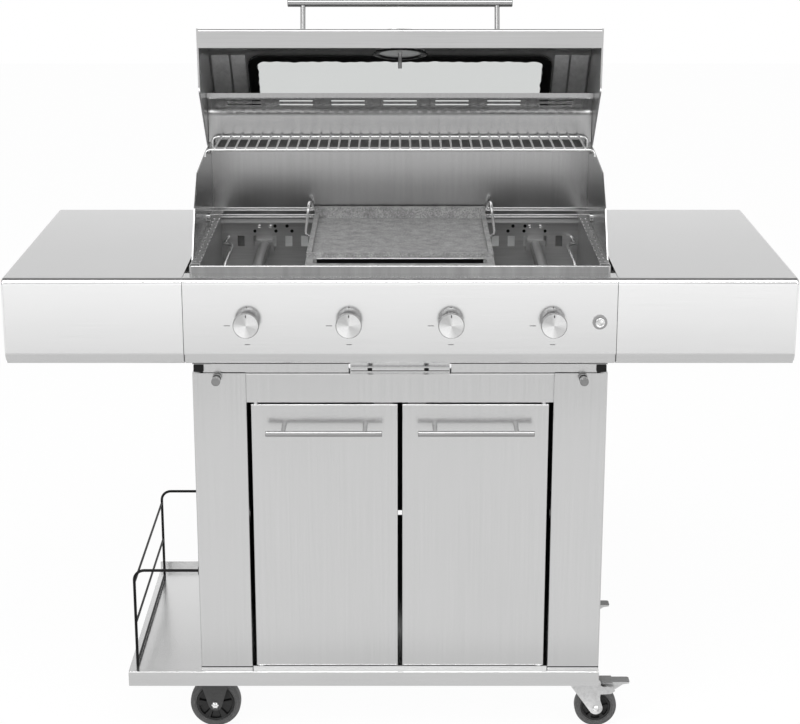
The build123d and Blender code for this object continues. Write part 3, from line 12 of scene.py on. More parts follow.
import bmesh
import bpy
import numpy as np
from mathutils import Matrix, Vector


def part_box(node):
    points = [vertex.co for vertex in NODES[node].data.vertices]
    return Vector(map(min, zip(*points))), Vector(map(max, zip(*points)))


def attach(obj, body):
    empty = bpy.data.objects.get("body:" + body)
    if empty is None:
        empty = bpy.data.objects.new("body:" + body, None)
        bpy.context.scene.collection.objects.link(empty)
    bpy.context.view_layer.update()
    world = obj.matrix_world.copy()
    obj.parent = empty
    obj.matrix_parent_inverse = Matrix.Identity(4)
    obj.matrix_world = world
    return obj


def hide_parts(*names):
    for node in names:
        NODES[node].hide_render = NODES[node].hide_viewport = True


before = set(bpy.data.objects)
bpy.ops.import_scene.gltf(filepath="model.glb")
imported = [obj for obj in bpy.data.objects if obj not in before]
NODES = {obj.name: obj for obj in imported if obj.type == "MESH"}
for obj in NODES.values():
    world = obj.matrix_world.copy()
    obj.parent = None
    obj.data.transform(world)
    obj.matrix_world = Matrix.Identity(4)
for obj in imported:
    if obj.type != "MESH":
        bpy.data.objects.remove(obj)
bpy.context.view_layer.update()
MM = 0.001
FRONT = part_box("control_panel")[0].y
SCENE = bpy.context.scene


def new_object(name, data):
    """An object at the origin, unturned, linked to the scene."""
    thing = bpy.data.objects.new(name, data)
    SCENE.collection.objects.link(thing)
    return thing


# %% [markdown]
# ## Camera
#
# The photograph looks slightly down on the grill from straight in front. Lines that recede, such as the
# shelf edges, meet at one point, and that point and the estimated width give the lens, the distance and the
# tilt. The picture is 800 by 724 pixels and Blender fits the sensor width to the longer side.

# %% Camera
LENS_PX = 1890.0
PICTURE_W = 800.0
SENSOR_MM = 36.0
CAMERA_BACK = 2.986
CAMERA_HEIGHT = 1.580
CAMERA_PITCH_DEG = 16.3
SIGHT_LIMIT = 60.0

camera_data = bpy.data.cameras.new("photo_camera")
camera_data.sensor_width = SENSOR_MM
camera_data.lens = LENS_PX / PICTURE_W * SENSOR_MM
camera_data.clip_end = SIGHT_LIMIT
camera = new_object("photo_camera", camera_data)
camera.location = (0.0, FRONT - CAMERA_BACK, CAMERA_HEIGHT)
camera.rotation_euler = (math.radians(90.0 - CAMERA_PITCH_DEG), 0.0, 0.0)
SCENE.camera = camera
SCENE.view_settings.view_transform = "Standard"
print("lens", round(camera_data.lens, 2), "mm")

# %% [markdown]
# ## Colours and nodes
#
# Colours are written as sRGB hex values, the way a paint chart gives them, and one function turns them
# into the linear numbers that a shader works with. One more function adds a node, sets it and links it.


# %% Helpers for materials
def linear(hex_value):
    """sRGB hex to linear RGBA: each channel c becomes ((c + 0.055) / 1.055) ** 2.4 above the toe."""
    channels = [int(hex_value[i : i + 2], 16) / 255 for i in (1, 3, 5)]
    return (*[c / 12.92 if c <= 0.04045 else ((c + 0.055) / 1.055) ** 2.4 for c in channels], 1.0)


def add(tree, kind, settings=None, **inputs):
    """Adds a shader node; inputs are values, sockets or nodes, by name (_ for a space) or by place (i0, i1)."""
    node = tree.nodes.new("ShaderNode" + kind)
    for key, value in (settings or {}).items():
        setattr(node, key, value)
    for key, value in inputs.items():
        by_place = key[0] == "i" and key[1:].isdigit()
        socket = node.inputs[int(key[1:]) if by_place else key.replace("_", " ")]
        source = value.outputs[0] if isinstance(value, bpy.types.Node) else value
        if isinstance(source, bpy.types.NodeSocket):
            tree.links.new(source, socket)
        else:
            socket.default_value = source
    return node


def maths(tree, operation, *values):
    """A math node over one to three values."""
    return add(tree, "Math", {"operation": operation}, **{f"i{k}": value for k, value in enumerate(values)})


def blank_material(name):
    """A new material with an empty node tree."""
    material = bpy.data.materials.new(name)
    material.use_nodes = True
    material.node_tree.nodes.clear()
    return material, material.node_tree


def close(tree, shader):
    """Links a finished shader to the material's output."""
    add(tree, "OutputMaterial", Surface=shader)


def ramp(tree, factor, stops):
    """Colour ramp through (position, linear RGBA) stops."""
    node = add(tree, "ValToRGB", Fac=factor)
    elements = node.color_ramp.elements
    elements[0].position, elements[0].color = stops[0]
    elements[1].position, elements[1].color = stops[-1]
    for position, color in stops[1:-1]:
        elements.new(position).color = color
    return node


print("material helpers ready")

# %% [markdown]
# ## Stainless sheet
#
# Most of the grill is stainless sheet, brushed with an abrasive belt. Its fine scratches draw a reflection out
# across them. They are noise stretched along the belt's direction; a real scratch is a few hundredths of a
# millimetre wide, which no picture of a whole grill shows, so here they are millimetres wide and faint.

# %% Brushed steel
SMUDGES_PER_M = 6.0  # wiping leaves clouds about as wide as a hand
SCRATCH_DEPTH = 0.4 * MM  # deeper than real, so that the widened scratches still show


def brushed_steel(name, pale, deep, roughness, along, width_mm, length_mm, bump, cloud=0.04, metallic=1.0):
    """Metal whose colour, roughness and height follow noise stretched along one axis."""
    material, tree = blank_material(name)
    place = add(tree, "TexCoord").outputs["Object"]
    fine, slow = 1 / (width_mm * MM), 1 / (length_mm * MM)
    scale = [slow if axis == along else fine for axis in "XYZ"]
    stretched = add(tree, "Mapping", Vector=place, Scale=scale)
    grain = add(tree, "TexNoise", Vector=stretched, Scale=1.0, Detail=3.0, Roughness=0.6)
    smudge = add(tree, "TexNoise", Vector=place, Scale=SMUDGES_PER_M, Detail=3.0)
    mixed = maths(tree, "MULTIPLY_ADD", smudge, 0.5, grain)
    color = ramp(tree, mixed, [(0.45, linear(deep)), (1.05, linear(pale))])
    low, high = roughness - cloud, roughness + cloud
    rough = add(tree, "MapRange", Value=mixed, From_Min=0.4, From_Max=1.1, To_Min=low, To_Max=high)
    height = add(tree, "Bump", Height=grain, Strength=bump, Distance=SCRATCH_DEPTH)
    close(tree, add(tree, "BsdfPrincipled", Base_Color=color, Metallic=metallic, Roughness=rough, Normal=height))
    return material


print("brushed steel ready")

# %% [markdown]
# ## Steel by place
#
# The same alloy looks different on each piece, partly because belt, polish and heat differ, and partly as
# painted shade: the tones are set to how bright each piece stands in the light, darker for the hems, the tub,
# the firebox walls and the hood. A metal's tone lies in its colour and its sharpness in its roughness, so these,
# the grain and the belt's direction are all that is set.
# Each comment says what the finish gives the eye.

# %% Steel finishes
# Control panel: almost a mirror, which fades from white above to grey below.
panel_steel = brushed_steel("brushed_stainless_panel", "#f8f8f8", "#f4f4f4", 0.21, "X", 2.0, 160.0, 0.0015, 0.01)
# Shelves: the brightest sheet, with even light grey tops.
shelf_steel = brushed_steel("brushed_stainless_shelf", "#ffffff", "#fbfbfb", 0.21, "X", 2.0, 160.0, 0.0012, 0.01)
# Hems: a duller band under the bright fronts, painted a little darker as shade.
hem_steel = brushed_steel("brushed_stainless_hem", "#f2f2f2", "#eaeaea", 0.24, "X", 2.0, 160.0, 0.002, 0.01)
# Doors and posts: faint upright streaks on light grey.
cabinet_steel = brushed_steel("brushed_stainless_cabinet", "#eaeaea", "#e5e5e5", 0.20, "Z", 2.0, 260.0, 0.003, 0.015)
# Base tray: pale, with soft cloudy reflections.
base_steel = brushed_steel("brushed_stainless_base", "#f2f2f2", "#ebebeb", 0.24, "X", 2.0, 200.0, 0.003, 0.02)
# Hood: dulled by heat to broad soft tones, and painted darker as the shade inside the open hood.
hood_steel = brushed_steel("brushed_stainless_hood", "#cacaca", "#c0c0c0", 0.30, "X", 2.0, 160.0, 0.006, 0.02, 0.85)
# Firebox walls: smooth and painted darker as the shade inside the firebox, with tall reflections.
inner_steel = brushed_steel("rolled_stainless_firebox", "#b2b2b2", "#aaaaaa", 0.22, "Z", 5.0, 220.0, 0.0015, 0.02)
# Tub and burners: smoky and dull, and painted darker as the shade under the griddle.
tub_steel = brushed_steel("heat_dulled_and_shaded_steel_tub", "#bcbcbc", "#a8a8a8", 0.34, "X", 4.0, 90.0, 0.008, 0.03, 0.8)
# Forks and plates: zinc crystals, which mottle a milky grey.
zinc_steel = brushed_steel("zinc_plated_steel", "#f2f2f2", "#d6d6d6", 0.30, "Y", 5.0, 18.0, 0.01)
# Handles and bolts: polished bar with one hard bright line along it.
bar_steel = brushed_steel("polished_stainless_bar", "#b4b4b4", "#a0a0a0", 0.16, "X", 1.5, 60.0, 0.01)
# Rack and bails: drawn wire that glints along its top.
wire_steel = brushed_steel("drawn_stainless_wire", "#f0f0f0", "#dcdcdc", 0.18, "Y", 1.5, 40.0, 0.01)
# Knob grips: dark chrome, in which the grooves show as fine lines.
grip_metal = brushed_steel("chromed_zinc", "#a4a4a4", "#8c8c8c", 0.26, "Y", 1.2, 30.0, 0.01)
# Nuts, screws and studs: the brightest small points.
nut_metal = brushed_steel("bright_zinc_fastener", "#fafafa", "#e6e6e6", 0.22, "Y", 2.0, 8.0, 0.01)
# Hood lining: a pale, nearly matt strip in the dark hood, a painted reflection.
lining_steel = brushed_steel("pale_lining_painted_reflection", "#ececec", "#d0d0d0", 0.42, "Z", 9.0, 400.0, 0.004, 0.03, 0.15)
# Firebox front: broad upright bands of darker grey, painted shade and reflection.
skin_steel = brushed_steel("banded_skin_painted_reflection", "#a0a0a0", "#848484", 0.30, "Z", 22.0, 300.0, 0.002, 0.03, 0.9)
print("steel finishes made", len(bpy.data.materials))

# %% [markdown]
# ## Cast iron, enamel, rubber and paint
#
# The griddle is rough cast iron under a dull grey enamel, grainy and speckled. Enamel, rubber, nylon and paint are
# the same more quietly: a fine grain that moves colour, roughness and height together, so one function makes
# them all. Real grains are finer, but about a millimetre is as fine as this picture shows.

# %% Speckled finishes
PATCH_SHARE = 0.12  # patches are eight grains wide
ROUGH_SPREAD = 0.06
GRAIN_DEPTH = 0.6 * MM


def speckled(name, colors, grain_mm, roughness, bump, metallic=0.0, shine=0.5):
    """Grainy finish: fine noise picks between colours and lifts the surface by part of a millimetre."""
    material, tree = blank_material(name)
    place = add(tree, "TexCoord").outputs["Object"]
    pace = 1 / (grain_mm * MM)
    grain = add(tree, "TexNoise", Vector=place, Scale=pace, Detail=4.0, Roughness=0.7)
    patch = add(tree, "TexNoise", Vector=place, Scale=PATCH_SHARE * pace, Detail=2.0)
    mixed = maths(tree, "MULTIPLY_ADD", patch, 0.35, grain)
    stops = [(0.42 + 0.5 * i / (len(colors) - 1), linear(c)) for i, c in enumerate(colors)]
    color = ramp(tree, mixed, stops)
    low, high = roughness - ROUGH_SPREAD, roughness + ROUGH_SPREAD
    rough = add(tree, "MapRange", Value=mixed, From_Min=0.4, From_Max=0.95, To_Min=low, To_Max=high)
    height = add(tree, "Bump", Height=grain, Strength=bump, Distance=GRAIN_DEPTH)
    shader = add(tree, "BsdfPrincipled", Base_Color=color, Metallic=metallic, Roughness=rough, Normal=height)
    shader.inputs["Specular IOR Level"].default_value = shine
    close(tree, shader)
    return material


# Griddle: a dull, grainy grey with darker patches.
cast_iron = speckled("enamelled_cast_iron", ["#5a5a5a", "#909090", "#c2c2c2"], 2.2, 0.55, 0.6)
# Back panel, rail and needle: deep black with a weak, rippled shine.
black_enamel = speckled("black_enamel", ["#080808", "#0e0e0e", "#151515"], 1.2, 0.30, 0.08, shine=0.2)
# Fixed forks: dark grey and half matt.
fork_enamel = speckled("dark_grey_enamel", ["#3c3c3c", "#454545", "#4e4e4e"], 2.2, 0.45, 0.15)
# Tyres: matt grey, with a soft edge to every light.
tyre_rubber = speckled("moulded_rubber", ["#4c4c4c", "#5a5a5a", "#6a6a6a"], 1.6, 0.60, 0.25)
# Hubs: near black, with light on the edges of the spokes.
hub_plastic = speckled("moulded_black_nylon", ["#090909", "#101010", "#181818"], 1.4, 0.45, 0.1)
# Brake treads: an even mid grey.
pedal_plastic = speckled("moulded_grey_nylon", ["#767676", "#808080", "#8a8a8a"], 1.4, 0.5, 0.12)
# Seals, and strips that paint the shade in gaps: black with a faint wet gleam.
seal_and_shade_black = speckled("silicone_seal_and_gap_shade", ["#050505", "#0b0b0b", "#141414"], 2.0, 0.4, 0.3, shine=0.3)
# Electrodes: warm white with a small gloss.
ceramic = speckled("glazed_ceramic", ["#dad6cc", "#e4e1d8", "#eeebe4"], 1.5, 0.25, 0.05)
# Valves: a touch of yellow metal under the panel.
brass = speckled("machined_brass", ["#a98d4c", "#b99b58", "#c7ab68"], 1.0, 0.3, 0.1, metallic=1.0)
# Setting marks: flat grey strokes.
mark_ink = speckled("etched_grey_mark", ["#6e6e6e", "#787878", "#828282"], 0.8, 0.6, 0.05)
# Dial: a soft white ground behind the lens.
dial_paint = speckled("white_dial_paint", ["#e6e6e2", "#ecece8", "#f2f2ee"], 2.0, 0.4, 0.03)
# Gap in the rear wall: a dark grey band, painted shade.
shadow_grey = speckled("painted_shade_gap_grey", ["#4c4c4c", "#585858", "#646464"], 6.0, 0.6, 0.05, shine=0.2)
# Holes, slots and gaps: flat black, painted shade.
shadow_black = speckled("painted_shade_black", ["#040404", "#080808", "#0c0c0c"], 1.5, 0.8, 0.1, shine=0.1)
print("finishes made", len(bpy.data.materials))

# %% [markdown]
# ## Glass and spun steel
#
# The pane and the lens are toughened float glass: clear, the view behind a little greyed, with faint smears in
# the gleam. The knob faces are turned on a lathe, and its rings throw two fans of light. Real rings are finer than
# a pixel, so the fans are painted from the angle in the face's own map.

# %% Glass and spun steel
SMEARS_PER_M = 14.0
RING_PACE = 300.0  # about 24 rings on a knob, far coarser than a lathe cuts
RING_DEPTH = 0.1 * MM


def clear_glass():
    """Toughened float glass, very slightly grey, with faint cloudy marks in its roughness."""
    material, tree = blank_material("toughened_glass")
    place = add(tree, "TexCoord").outputs["Object"]
    marks = add(tree, "TexNoise", Vector=place, Scale=SMEARS_PER_M, Detail=3.0)
    rough = add(tree, "MapRange", Value=marks, From_Min=0.45, From_Max=0.8, To_Min=0.0, To_Max=0.05)
    tint = linear("#dcdedd")
    close(tree, add(tree, "BsdfPrincipled", Base_Color=tint, Roughness=rough, IOR=1.46, Transmission_Weight=1.0))
    return material


def spun_steel():
    """Turned face: colour follows sin(2 angle), the two fans of painted reflection, and height sin(RING_PACE
    radius), the rings.
    """
    material, tree = blank_material("spun_face_painted_fans")
    uv = add(tree, "UVMap", {"uv_map": "spin"})
    middle = add(tree, "VectorMath", {"operation": "SUBTRACT"}, i0=uv, i1=(0.5, 0.5, 0.0))
    parts = add(tree, "SeparateXYZ", Vector=middle).outputs
    angle = maths(tree, "ARCTAN2", parts["Y"], parts["X"])
    painted_fan = maths(tree, "SINE", maths(tree, "MULTIPLY", angle, 2.0))
    share = add(tree, "MapRange", Value=painted_fan, From_Min=-1.0, From_Max=1.0)
    color = ramp(tree, share, [(0.1, linear("#d6d6d6")), (0.75, linear("#fdfdfd"))])
    radius = add(tree, "VectorMath", {"operation": "LENGTH"}, i0=middle).outputs["Value"]
    rings = maths(tree, "SINE", maths(tree, "MULTIPLY", radius, RING_PACE))
    height = add(tree, "Bump", Height=rings, Strength=0.05, Distance=RING_DEPTH)
    close(tree, add(tree, "BsdfPrincipled", Base_Color=color, Metallic=1.0, Roughness=0.25, Normal=height))
    return material


glass = clear_glass()
spun_face = spun_steel()
print("finishes made", len(bpy.data.materials))

# %% [markdown]
# ## Dress the solids
#
# Each solid keeps its shape and takes the finish of the real piece. One table, read by finish, shows at a
# glance which pieces came from the same shop: sheet, bar, wire, zinc or enamel.

# %% Finishes by solid
FINISH = {
    panel_steel: ["control_panel"],
    shelf_steel: ["shelf_left", "shelf_right"],
    cabinet_steel: [
        "cart_side_left", "cart_side_right", "cart_header", "door_left", "door_right", "head_rails",
        "grease_tray",
    ],
    base_steel: ["base_tray"],
    hood_steel: ["hood_shell", "hood_side_left", "hood_side_right", "thermometer_case"],
    inner_steel: ["rear_wall", "firebox_side_left", "firebox_side_right"],
    tub_steel: ["firebox_tub", "burners", "tray_runners"],
    bar_steel: [
        "door_handle_left", "door_handle_right", "hood_handle", "hood_pivot_bolts", "igniter_button",
        "igniter_body", "tool_pegs",
    ],
    wire_steel: ["warming_rack"],
    zinc_steel: [
        "caster_rails", "door_hinge_pins", "swivel_caster_plates", "swivel_fork_front",
        "swivel_fork_rear", "gas_manifold", *[f"valve_spindle_{n}" for n in range(1, 5)],
    ],
    grip_metal: [f"knob_{n}" for n in range(1, 5)],
    cast_iron: ["griddle"],
    black_enamel: ["cart_back_panel", "head_mounts", "side_rack_rail", "thermometer_needle"],
    fork_enamel: ["rigid_caster_forks"],
    tyre_rubber: [f"wheel_{side}_{place}" for side in ("left", "right") for place in ("front", "rear")],
    pedal_plastic: ["brake_pedal_front", "brake_pedal_rear"],
    seal_and_shade_black: ["window_seal"],
    ceramic: ["igniter_electrodes"],
    brass: ["gas_valves"],
    glass: ["window_glass", "thermometer_lens"],
}
dressed = set()
for material, names in FINISH.items():
    for name in names:
        mesh = NODES[name].data
        mesh.materials.clear()
        mesh.materials.append(material)
        dressed.add(name)
print("dressed", len(dressed), "left plain", sorted(set(NODES) - dressed))

# %% [markdown]
# ## Surfaces from formulas
#
# A turned, pressed or moulded piece is a surface over two parameters: a row along the profile and an angle round
# it. Numpy works out all points at once. Every grid is drawn in its own frame, with u across, v up and w outwards,
# and then carried to its place on the grill.

# %% Helpers for grids
TURN = 2 * math.pi
BOTH = (1, -1)  # right and left, or front and back


def turned(profile, steps, waist=None):
    """Lathe: a profile of (radius, w) pairs carried round w; waist(angle, row) may scale the radius."""
    profile = np.asarray(profile, float)
    angle = np.linspace(0, TURN, steps, endpoint=False)[None, :]
    radius = profile[:, :1] * np.ones_like(angle)
    if waist is not None:
        radius = radius * waist(angle, np.arange(len(profile))[:, None])
    return np.stack([radius * np.cos(angle), radius * np.sin(angle), profile[:, 1:] + 0 * angle], axis=-1)


def bar(half, radius, draw_in, run_in, steps):
    """Round bar along w from -half to half, its ends drawn in by draw_in over a length of run_in."""
    end = [(0, half), (radius - draw_in, half), (radius, half - run_in)]
    return turned([(r, -w) for r, w in end] + end[::-1], steps)


def pad(half_u, half_v, back, front, power=2.0, steps=24):
    """Small plate from a back to a front depth, with the outline |u/a|^p + |v/b|^p = 1."""
    angle = np.linspace(0, TURN, steps, endpoint=False)[None, :]
    u, v = [np.sign(c) * np.abs(c) ** (2 / power) for c in (np.cos(angle), np.sin(angle))]
    grow = np.array([0, 1, 1, 0])[:, None]
    depth = np.array([back, back, front, front])[:, None]
    return np.stack([grow * half_u * u, grow * half_v * v, depth + 0 * u], axis=-1)


def extruded(outline, low, high, axis):
    """A flat outline carried along x (axis 0) or y (axis 1) from low to high, closed over its middle."""
    outline = np.asarray(outline, float)
    middle = np.repeat(outline.mean(axis=0)[None], len(outline), axis=0)
    rows = np.stack([middle, outline, outline, middle])
    depth = np.array([low, low, high, high])[:, None] + np.zeros((4, len(outline)))
    return np.insert(rows, axis, depth, axis=2)


def framed(grid, origin, across=(1, 0, 0), up=(0, 0, 1)):
    """Carries a grid from (u, v, w) to the grill: w points along across x up, by default to the front."""
    across, up = np.asarray(across, float), np.asarray(up, float)
    return np.asarray(origin, float) + grid @ np.stack([across, up, np.cross(across, up)])


LENGTHWISE = ((0, 1, 0), (0, 0, 1))  # across and up of a bar that lies along x
print("grid helpers ready")

# %% [markdown]
# ## From grids to pieces
#
# A table of indices joins neighbours to faces, doubled points at poles and seams are merged, and the new mesh
# is told which body it rides on and what it is made of, while the plain solid that it replaces is hidden.

# %% Helpers for pieces
MERGE = 0.002 * MM


def quads(rows, columns, start):
    """Faces of a grid whose columns close on themselves: each cell joins its four corners."""
    index = np.arange(rows * columns).reshape(rows, columns) + start
    index = np.concatenate([index, index[:, :1]], axis=1)
    return np.stack([index[:-1, :-1], index[:-1, 1:], index[1:, 1:], index[1:, :-1]], axis=-1).reshape(-1, 4)


def piece(name, grids, finish, body, replaced=(), sharp_deg=35.0):
    """Grids in millimetres from the panel's plane become one closed mesh that rides on a body."""
    starts = np.cumsum([0] + [grid.shape[0] * grid.shape[1] for grid in grids])
    points = np.concatenate([grid.reshape(-1, 3) for grid in grids]) * MM + [0.0, FRONT, 0.0]
    faces = np.concatenate([quads(*grid.shape[:2], start) for grid, start in zip(grids, starts)])
    mesh = bpy.data.meshes.new(name)
    mesh.from_pydata(points.tolist(), [], faces.tolist())
    work = bmesh.new()
    work.from_mesh(mesh)
    bmesh.ops.remove_doubles(work, verts=work.verts, dist=MERGE)
    bmesh.ops.recalc_face_normals(work, faces=work.faces)
    work.to_mesh(mesh)
    work.free()
    mesh.shade_smooth()
    mesh.set_sharp_from_angle(angle=math.radians(sharp_deg))
    mesh.materials.append(finish)
    thing = new_object(name, mesh)
    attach(thing, body)
    if replaced:
        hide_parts(*replaced)
    return thing


def spin_map(thing, centre, radius):
    """Flat UV map over a round face: (x, z) measured from the centre in diameters, moved to 0.5."""
    mesh = thing.data
    corner = np.empty(len(mesh.loops), dtype=np.int32)
    mesh.loops.foreach_get("vertex_index", corner)
    place = np.empty(len(mesh.vertices) * 3)
    mesh.vertices.foreach_get("co", place)
    place = place.reshape(-1, 3)[corner][:, [0, 2]] / MM
    flat = 0.5 + (place - np.asarray(centre)) / (2 * radius)
    mesh.uv_layers.new(name="spin").data.foreach_set("uv", flat.astype(np.float32).ravel())


print("piece helpers ready")

# %% [markdown]
# ## Knobs
#
# Each knob is a zinc casting with a chromed, finely grooved grip and a bright face of spun steel, dished a
# little, with a black pointer. The grip is a lathe profile whose radius dips 48 times round; cutting each
# groove would take far more faces.

# %% Knobs
KNOB_X = [-250.5, -83.5, 83.5, 250.5]
KNOB_Z = 775.0
GROOVES, GROOVE_SHARE, GROOVED_ROWS = 48, 0.03, (10, 13)
GRIP = [
    (0, 22.2), (4.3, 22.2), (4.3, 7), (15.8, 7), (17.2, 7.6), (17.6, 9), (17.8, 14), (18.4, 18.6),
    (20.6, 20.6), (21.4, 21.6), (21.4, 22.2), (21.4, 25.4), (21.3, 26), (21, 26.6), (20.7, 26.9), (20.5, 26.9),
    (20.3, 26.6), (20.2, 25.2), (0, 25.2),
]
FACE_R, FACE_SEAT, FACE_RIM, FACE_DISH = 20.1, 25.4, 26.35, 0.55
POINTER_R = 16.0


def grooved(angle, row):
    """Radius factor: 1 - 0.03 of a raised cosine with 48 waves, only on the rows of the grip's rim."""
    wave = 0.5 + 0.5 * np.cos(GROOVES * angle)
    return 1 - GROOVE_SHARE * wave * ((row >= GROOVED_ROWS[0]) & (row <= GROOVED_ROWS[1]))


radii = np.linspace(1.0, 0.0, 14)
dish = np.stack([FACE_R * radii, FACE_RIM - FACE_DISH * (1 - radii**2)], axis=1)
face_profile = np.concatenate([[(0, FACE_SEAT), (FACE_R, FACE_SEAT)], dish])
for number, x in enumerate(KNOB_X, 1):
    body = f"knob_{number}"
    grip = framed(turned(GRIP, 192, grooved), (x, 0, KNOB_Z))
    piece(f"knob_grip_{number}", [grip], grip_metal, body, [body], 50)
    disc = framed(turned(face_profile, 96), (x, 0, KNOB_Z))
    face = piece(f"knob_face_{number}", [disc], spun_face, body)
    spin_map(face, (x, KNOB_Z), FACE_R)
    pointer = framed(pad(0.8, 2.3, 25.7, 26.5, 5.0), (x, 0, KNOB_Z + POINTER_R))
    piece(f"knob_pointer_{number}", [pointer], black_enamel, body)
print("knobs", len(KNOB_X), "each with", GROOVES, "grooves")

# %% [markdown]
# ## Marks round the knobs
#
# A dot above and a short dash to the left and below show the settings. Such marks are etched a few hundredths
# of a millimetre deep; here they are thin plates, because so shallow a cut would not show.

# %% Setting marks
MARK_Z = 768.5
MARK_DEPTH = (-0.2, 0.12)
marks = []
for x in KNOB_X:
    marks += [
        framed(pad(1.4, 1.4, *MARK_DEPTH, steps=16), (x, 0, MARK_Z + 31)),
        framed(pad(5.2, 0.7, *MARK_DEPTH, 6.0), (x - 33, 0, MARK_Z)),
        framed(pad(4.6, 0.7, *MARK_DEPTH, 6.0), (x, 0, MARK_Z - 32)),
    ]
piece("setting_marks", marks, mark_ink, "cart")
print("marks", len(marks))

# %% [markdown]
# ## Igniter button
#
# The igniter is a turned and chromed push button with a raised middle and a ring groove round it. A lathe
# made it, so a lathe profile draws it, and its face gets the same spun steel as the knobs.

# %% Igniter
IGNITER_X, IGNITER_R = 327.0, 8.0
CAP = [
    (0, -11.8), (8, -11.8), (8, 6.8), (7.6, 7.6), (6.9, 8), (6.2, 7.7), (5.7, 7.1), (5, 7), (4.3, 7.5),
    (3, 7.9), (1.5, 8), (0, 8),
]
cap = piece(
    "igniter_cap", [framed(turned(CAP, 64), (IGNITER_X, 0, KNOB_Z))], spun_face, "igniter_button",
    ["igniter_button"], 60,
)
spin_map(cap, (IGNITER_X, KNOB_Z), IGNITER_R)
print("igniter cap at", IGNITER_X)

# %% [markdown]
# ## Caster wheels
#
# Each caster has a grey rubber tyre pressed on a black moulded hub with six spokes. The tyre is a ring whose
# section is a rounded rectangle, and the hub is a lathe profile whose web is lifted at the spokes, so both
# stay one smooth skin as a moulding is.

# %% Tyres and hubs
# Each wheel: x, y, outer radius, rim radius, half width.
WHEELS = {
    "left_front": (-330, 100, 45, 33, 12.5), "left_rear": (-330, 440, 45, 33, 12.5),
    "right_front": (350, 100, 37.5, 25.5, 12), "right_rear": (350, 440, 37.5, 25.5, 12),
}
SPOKES = 6


def tyre(radius, rim, half):
    """Ring: section r = mid + h cos^0.55, w = half sin^0.5, with a shallow groove near the rim."""
    t = np.linspace(0, TURN, 49)
    c, s = np.cos(t), np.sin(t)
    across = np.sign(c) * np.abs(c) ** 0.55
    out = np.sign(s) * np.abs(s) ** 0.5
    section_r = (radius + rim) / 2 + (radius - rim) / 2 * across
    groove = np.exp(-(((section_r - rim - 3.2) / 1.1) ** 2))
    return turned(np.stack([section_r, half * out * (1 - 0.12 * groove)], axis=1), 96)


def hub(rim, half):
    """Web between boss and rim: half width 0.5, lifted to 0.78 of the wheel's half where cos(6 angle) > 0.25."""
    rows = np.array([
        (4.5, 0.95), (8.2, 0.95), (9.0, 0.9), (9.4, 0.6), (11.0, 0.5), (rim - 6.0, 0.5), (rim - 3.6, 0.52),
        (rim - 3.0, 0.86), (rim - 1.2, 0.94), (rim + 0.3, 0.9),
    ])
    angle = np.linspace(0, TURN, 144, endpoint=False)[None, :]
    spoke = 1 / (1 + np.exp(-18 * (np.cos(SPOKES * angle) - 0.25)))
    number = np.arange(len(rows))[:, None]
    web = (number >= 3) & (number <= 6)
    front = half * (rows[:, 1:] + 0.28 * spoke * web)
    ring = np.stack([rows[:, :1] * np.cos(angle), rows[:, :1] * np.sin(angle), front], axis=-1)
    back = ring[::-1] * [1, 1, -1]
    return np.concatenate([ring, back, ring[:1]])


for name, (x, y, radius, rim, half) in WHEELS.items():
    body, spot = f"wheel_{name}", (x, y, radius)
    piece(f"tyre_{name}", [framed(tyre(radius, rim, half), spot)], tyre_rubber, body, [body])
    piece(f"wheel_hub_{name}", [framed(hub(rim, half), spot)], hub_plastic, body)
print("wheels", len(WHEELS), "with", SPOKES, "spokes each")

# %% [markdown]
# ## Axle nuts
#
# A bright domed nut closes each end of an axle. Its hexagon is a lathe whose radius follows the flat sides,
# so flats and dome are one surface.

# %% Axle nuts
FORK_HALF = {"left": 17.0, "right": 16.5}
NUT = [(0, -0.1), (6, -0.1), (6, 3.4), (5.3, 4), (5, 4.2), (4, 5.6), (2.2, 6.4), (0, 6.7)]
NUT_FLAT_ROWS = 3


def six_sided(angle, row):
    """Radius factor of a hexagon, 1 / cos of the angle from the nearest flat, on the lower rows only."""
    flat = np.mod(angle, TURN / 6) - TURN / 12
    return np.where(row <= NUT_FLAT_ROWS, 1 / np.cos(flat) * np.cos(TURN / 12) * 1.08, 1.0)


for name, (x, y, radius, _, _) in WHEELS.items():
    side, place = name.split("_")
    nuts = [
        framed(turned(NUT, 48, six_sided), (x, y - way * FORK_HALF[side], radius), (way, 0, 0)) for way in BOTH
    ]
    piece(f"axle_nuts_{name}", nuts, nut_metal, "cart" if side == "left" else f"swivel_{place}")
print("axle nuts", 2 * len(WHEELS))

# %% [markdown]
# ## Places on the hood
#
# The hood is drawn closed, where its faces are easy to measure: a front at 67.4 degrees from the lip, then a slope
# at 38 degrees with the window. What sits on it is then swung back about the hinge, as the hood stands open.

# %% Hood places
PIVOT = np.array([0.0, 353.0, 875.0])
OPEN = math.radians(-86.0)
SWING = np.array([[1, 0, 0], [0, math.cos(OPEN), -math.sin(OPEN)], [0, math.sin(OPEN), math.cos(OPEN)]])
LIP = (10.0, 860.0)
FRONT_DEG, SLOPE_DEG = 67.4, 38.0
FRONT_LEN, GAUGE_UP, WINDOW_UP = 178.0, 118.0, 27.0
WINDOW_HALF = (262.0, 85.0)


def step(start, degrees, length):
    """The point at a length along a direction in the plane of y and z."""
    angle = math.radians(degrees)
    return start[0] + length * math.cos(angle), start[1] + length * math.sin(angle)


def on_hood(grid, spot, degrees):
    """Carries a grid to a spot of the closed hood's outer skin, and swings it about the hinge."""
    closed = framed(grid, (0, *spot), (1, 0, 0), (0, *step((0, 0), degrees, 1)))
    return PIVOT + (closed - PIVOT) @ SWING.T


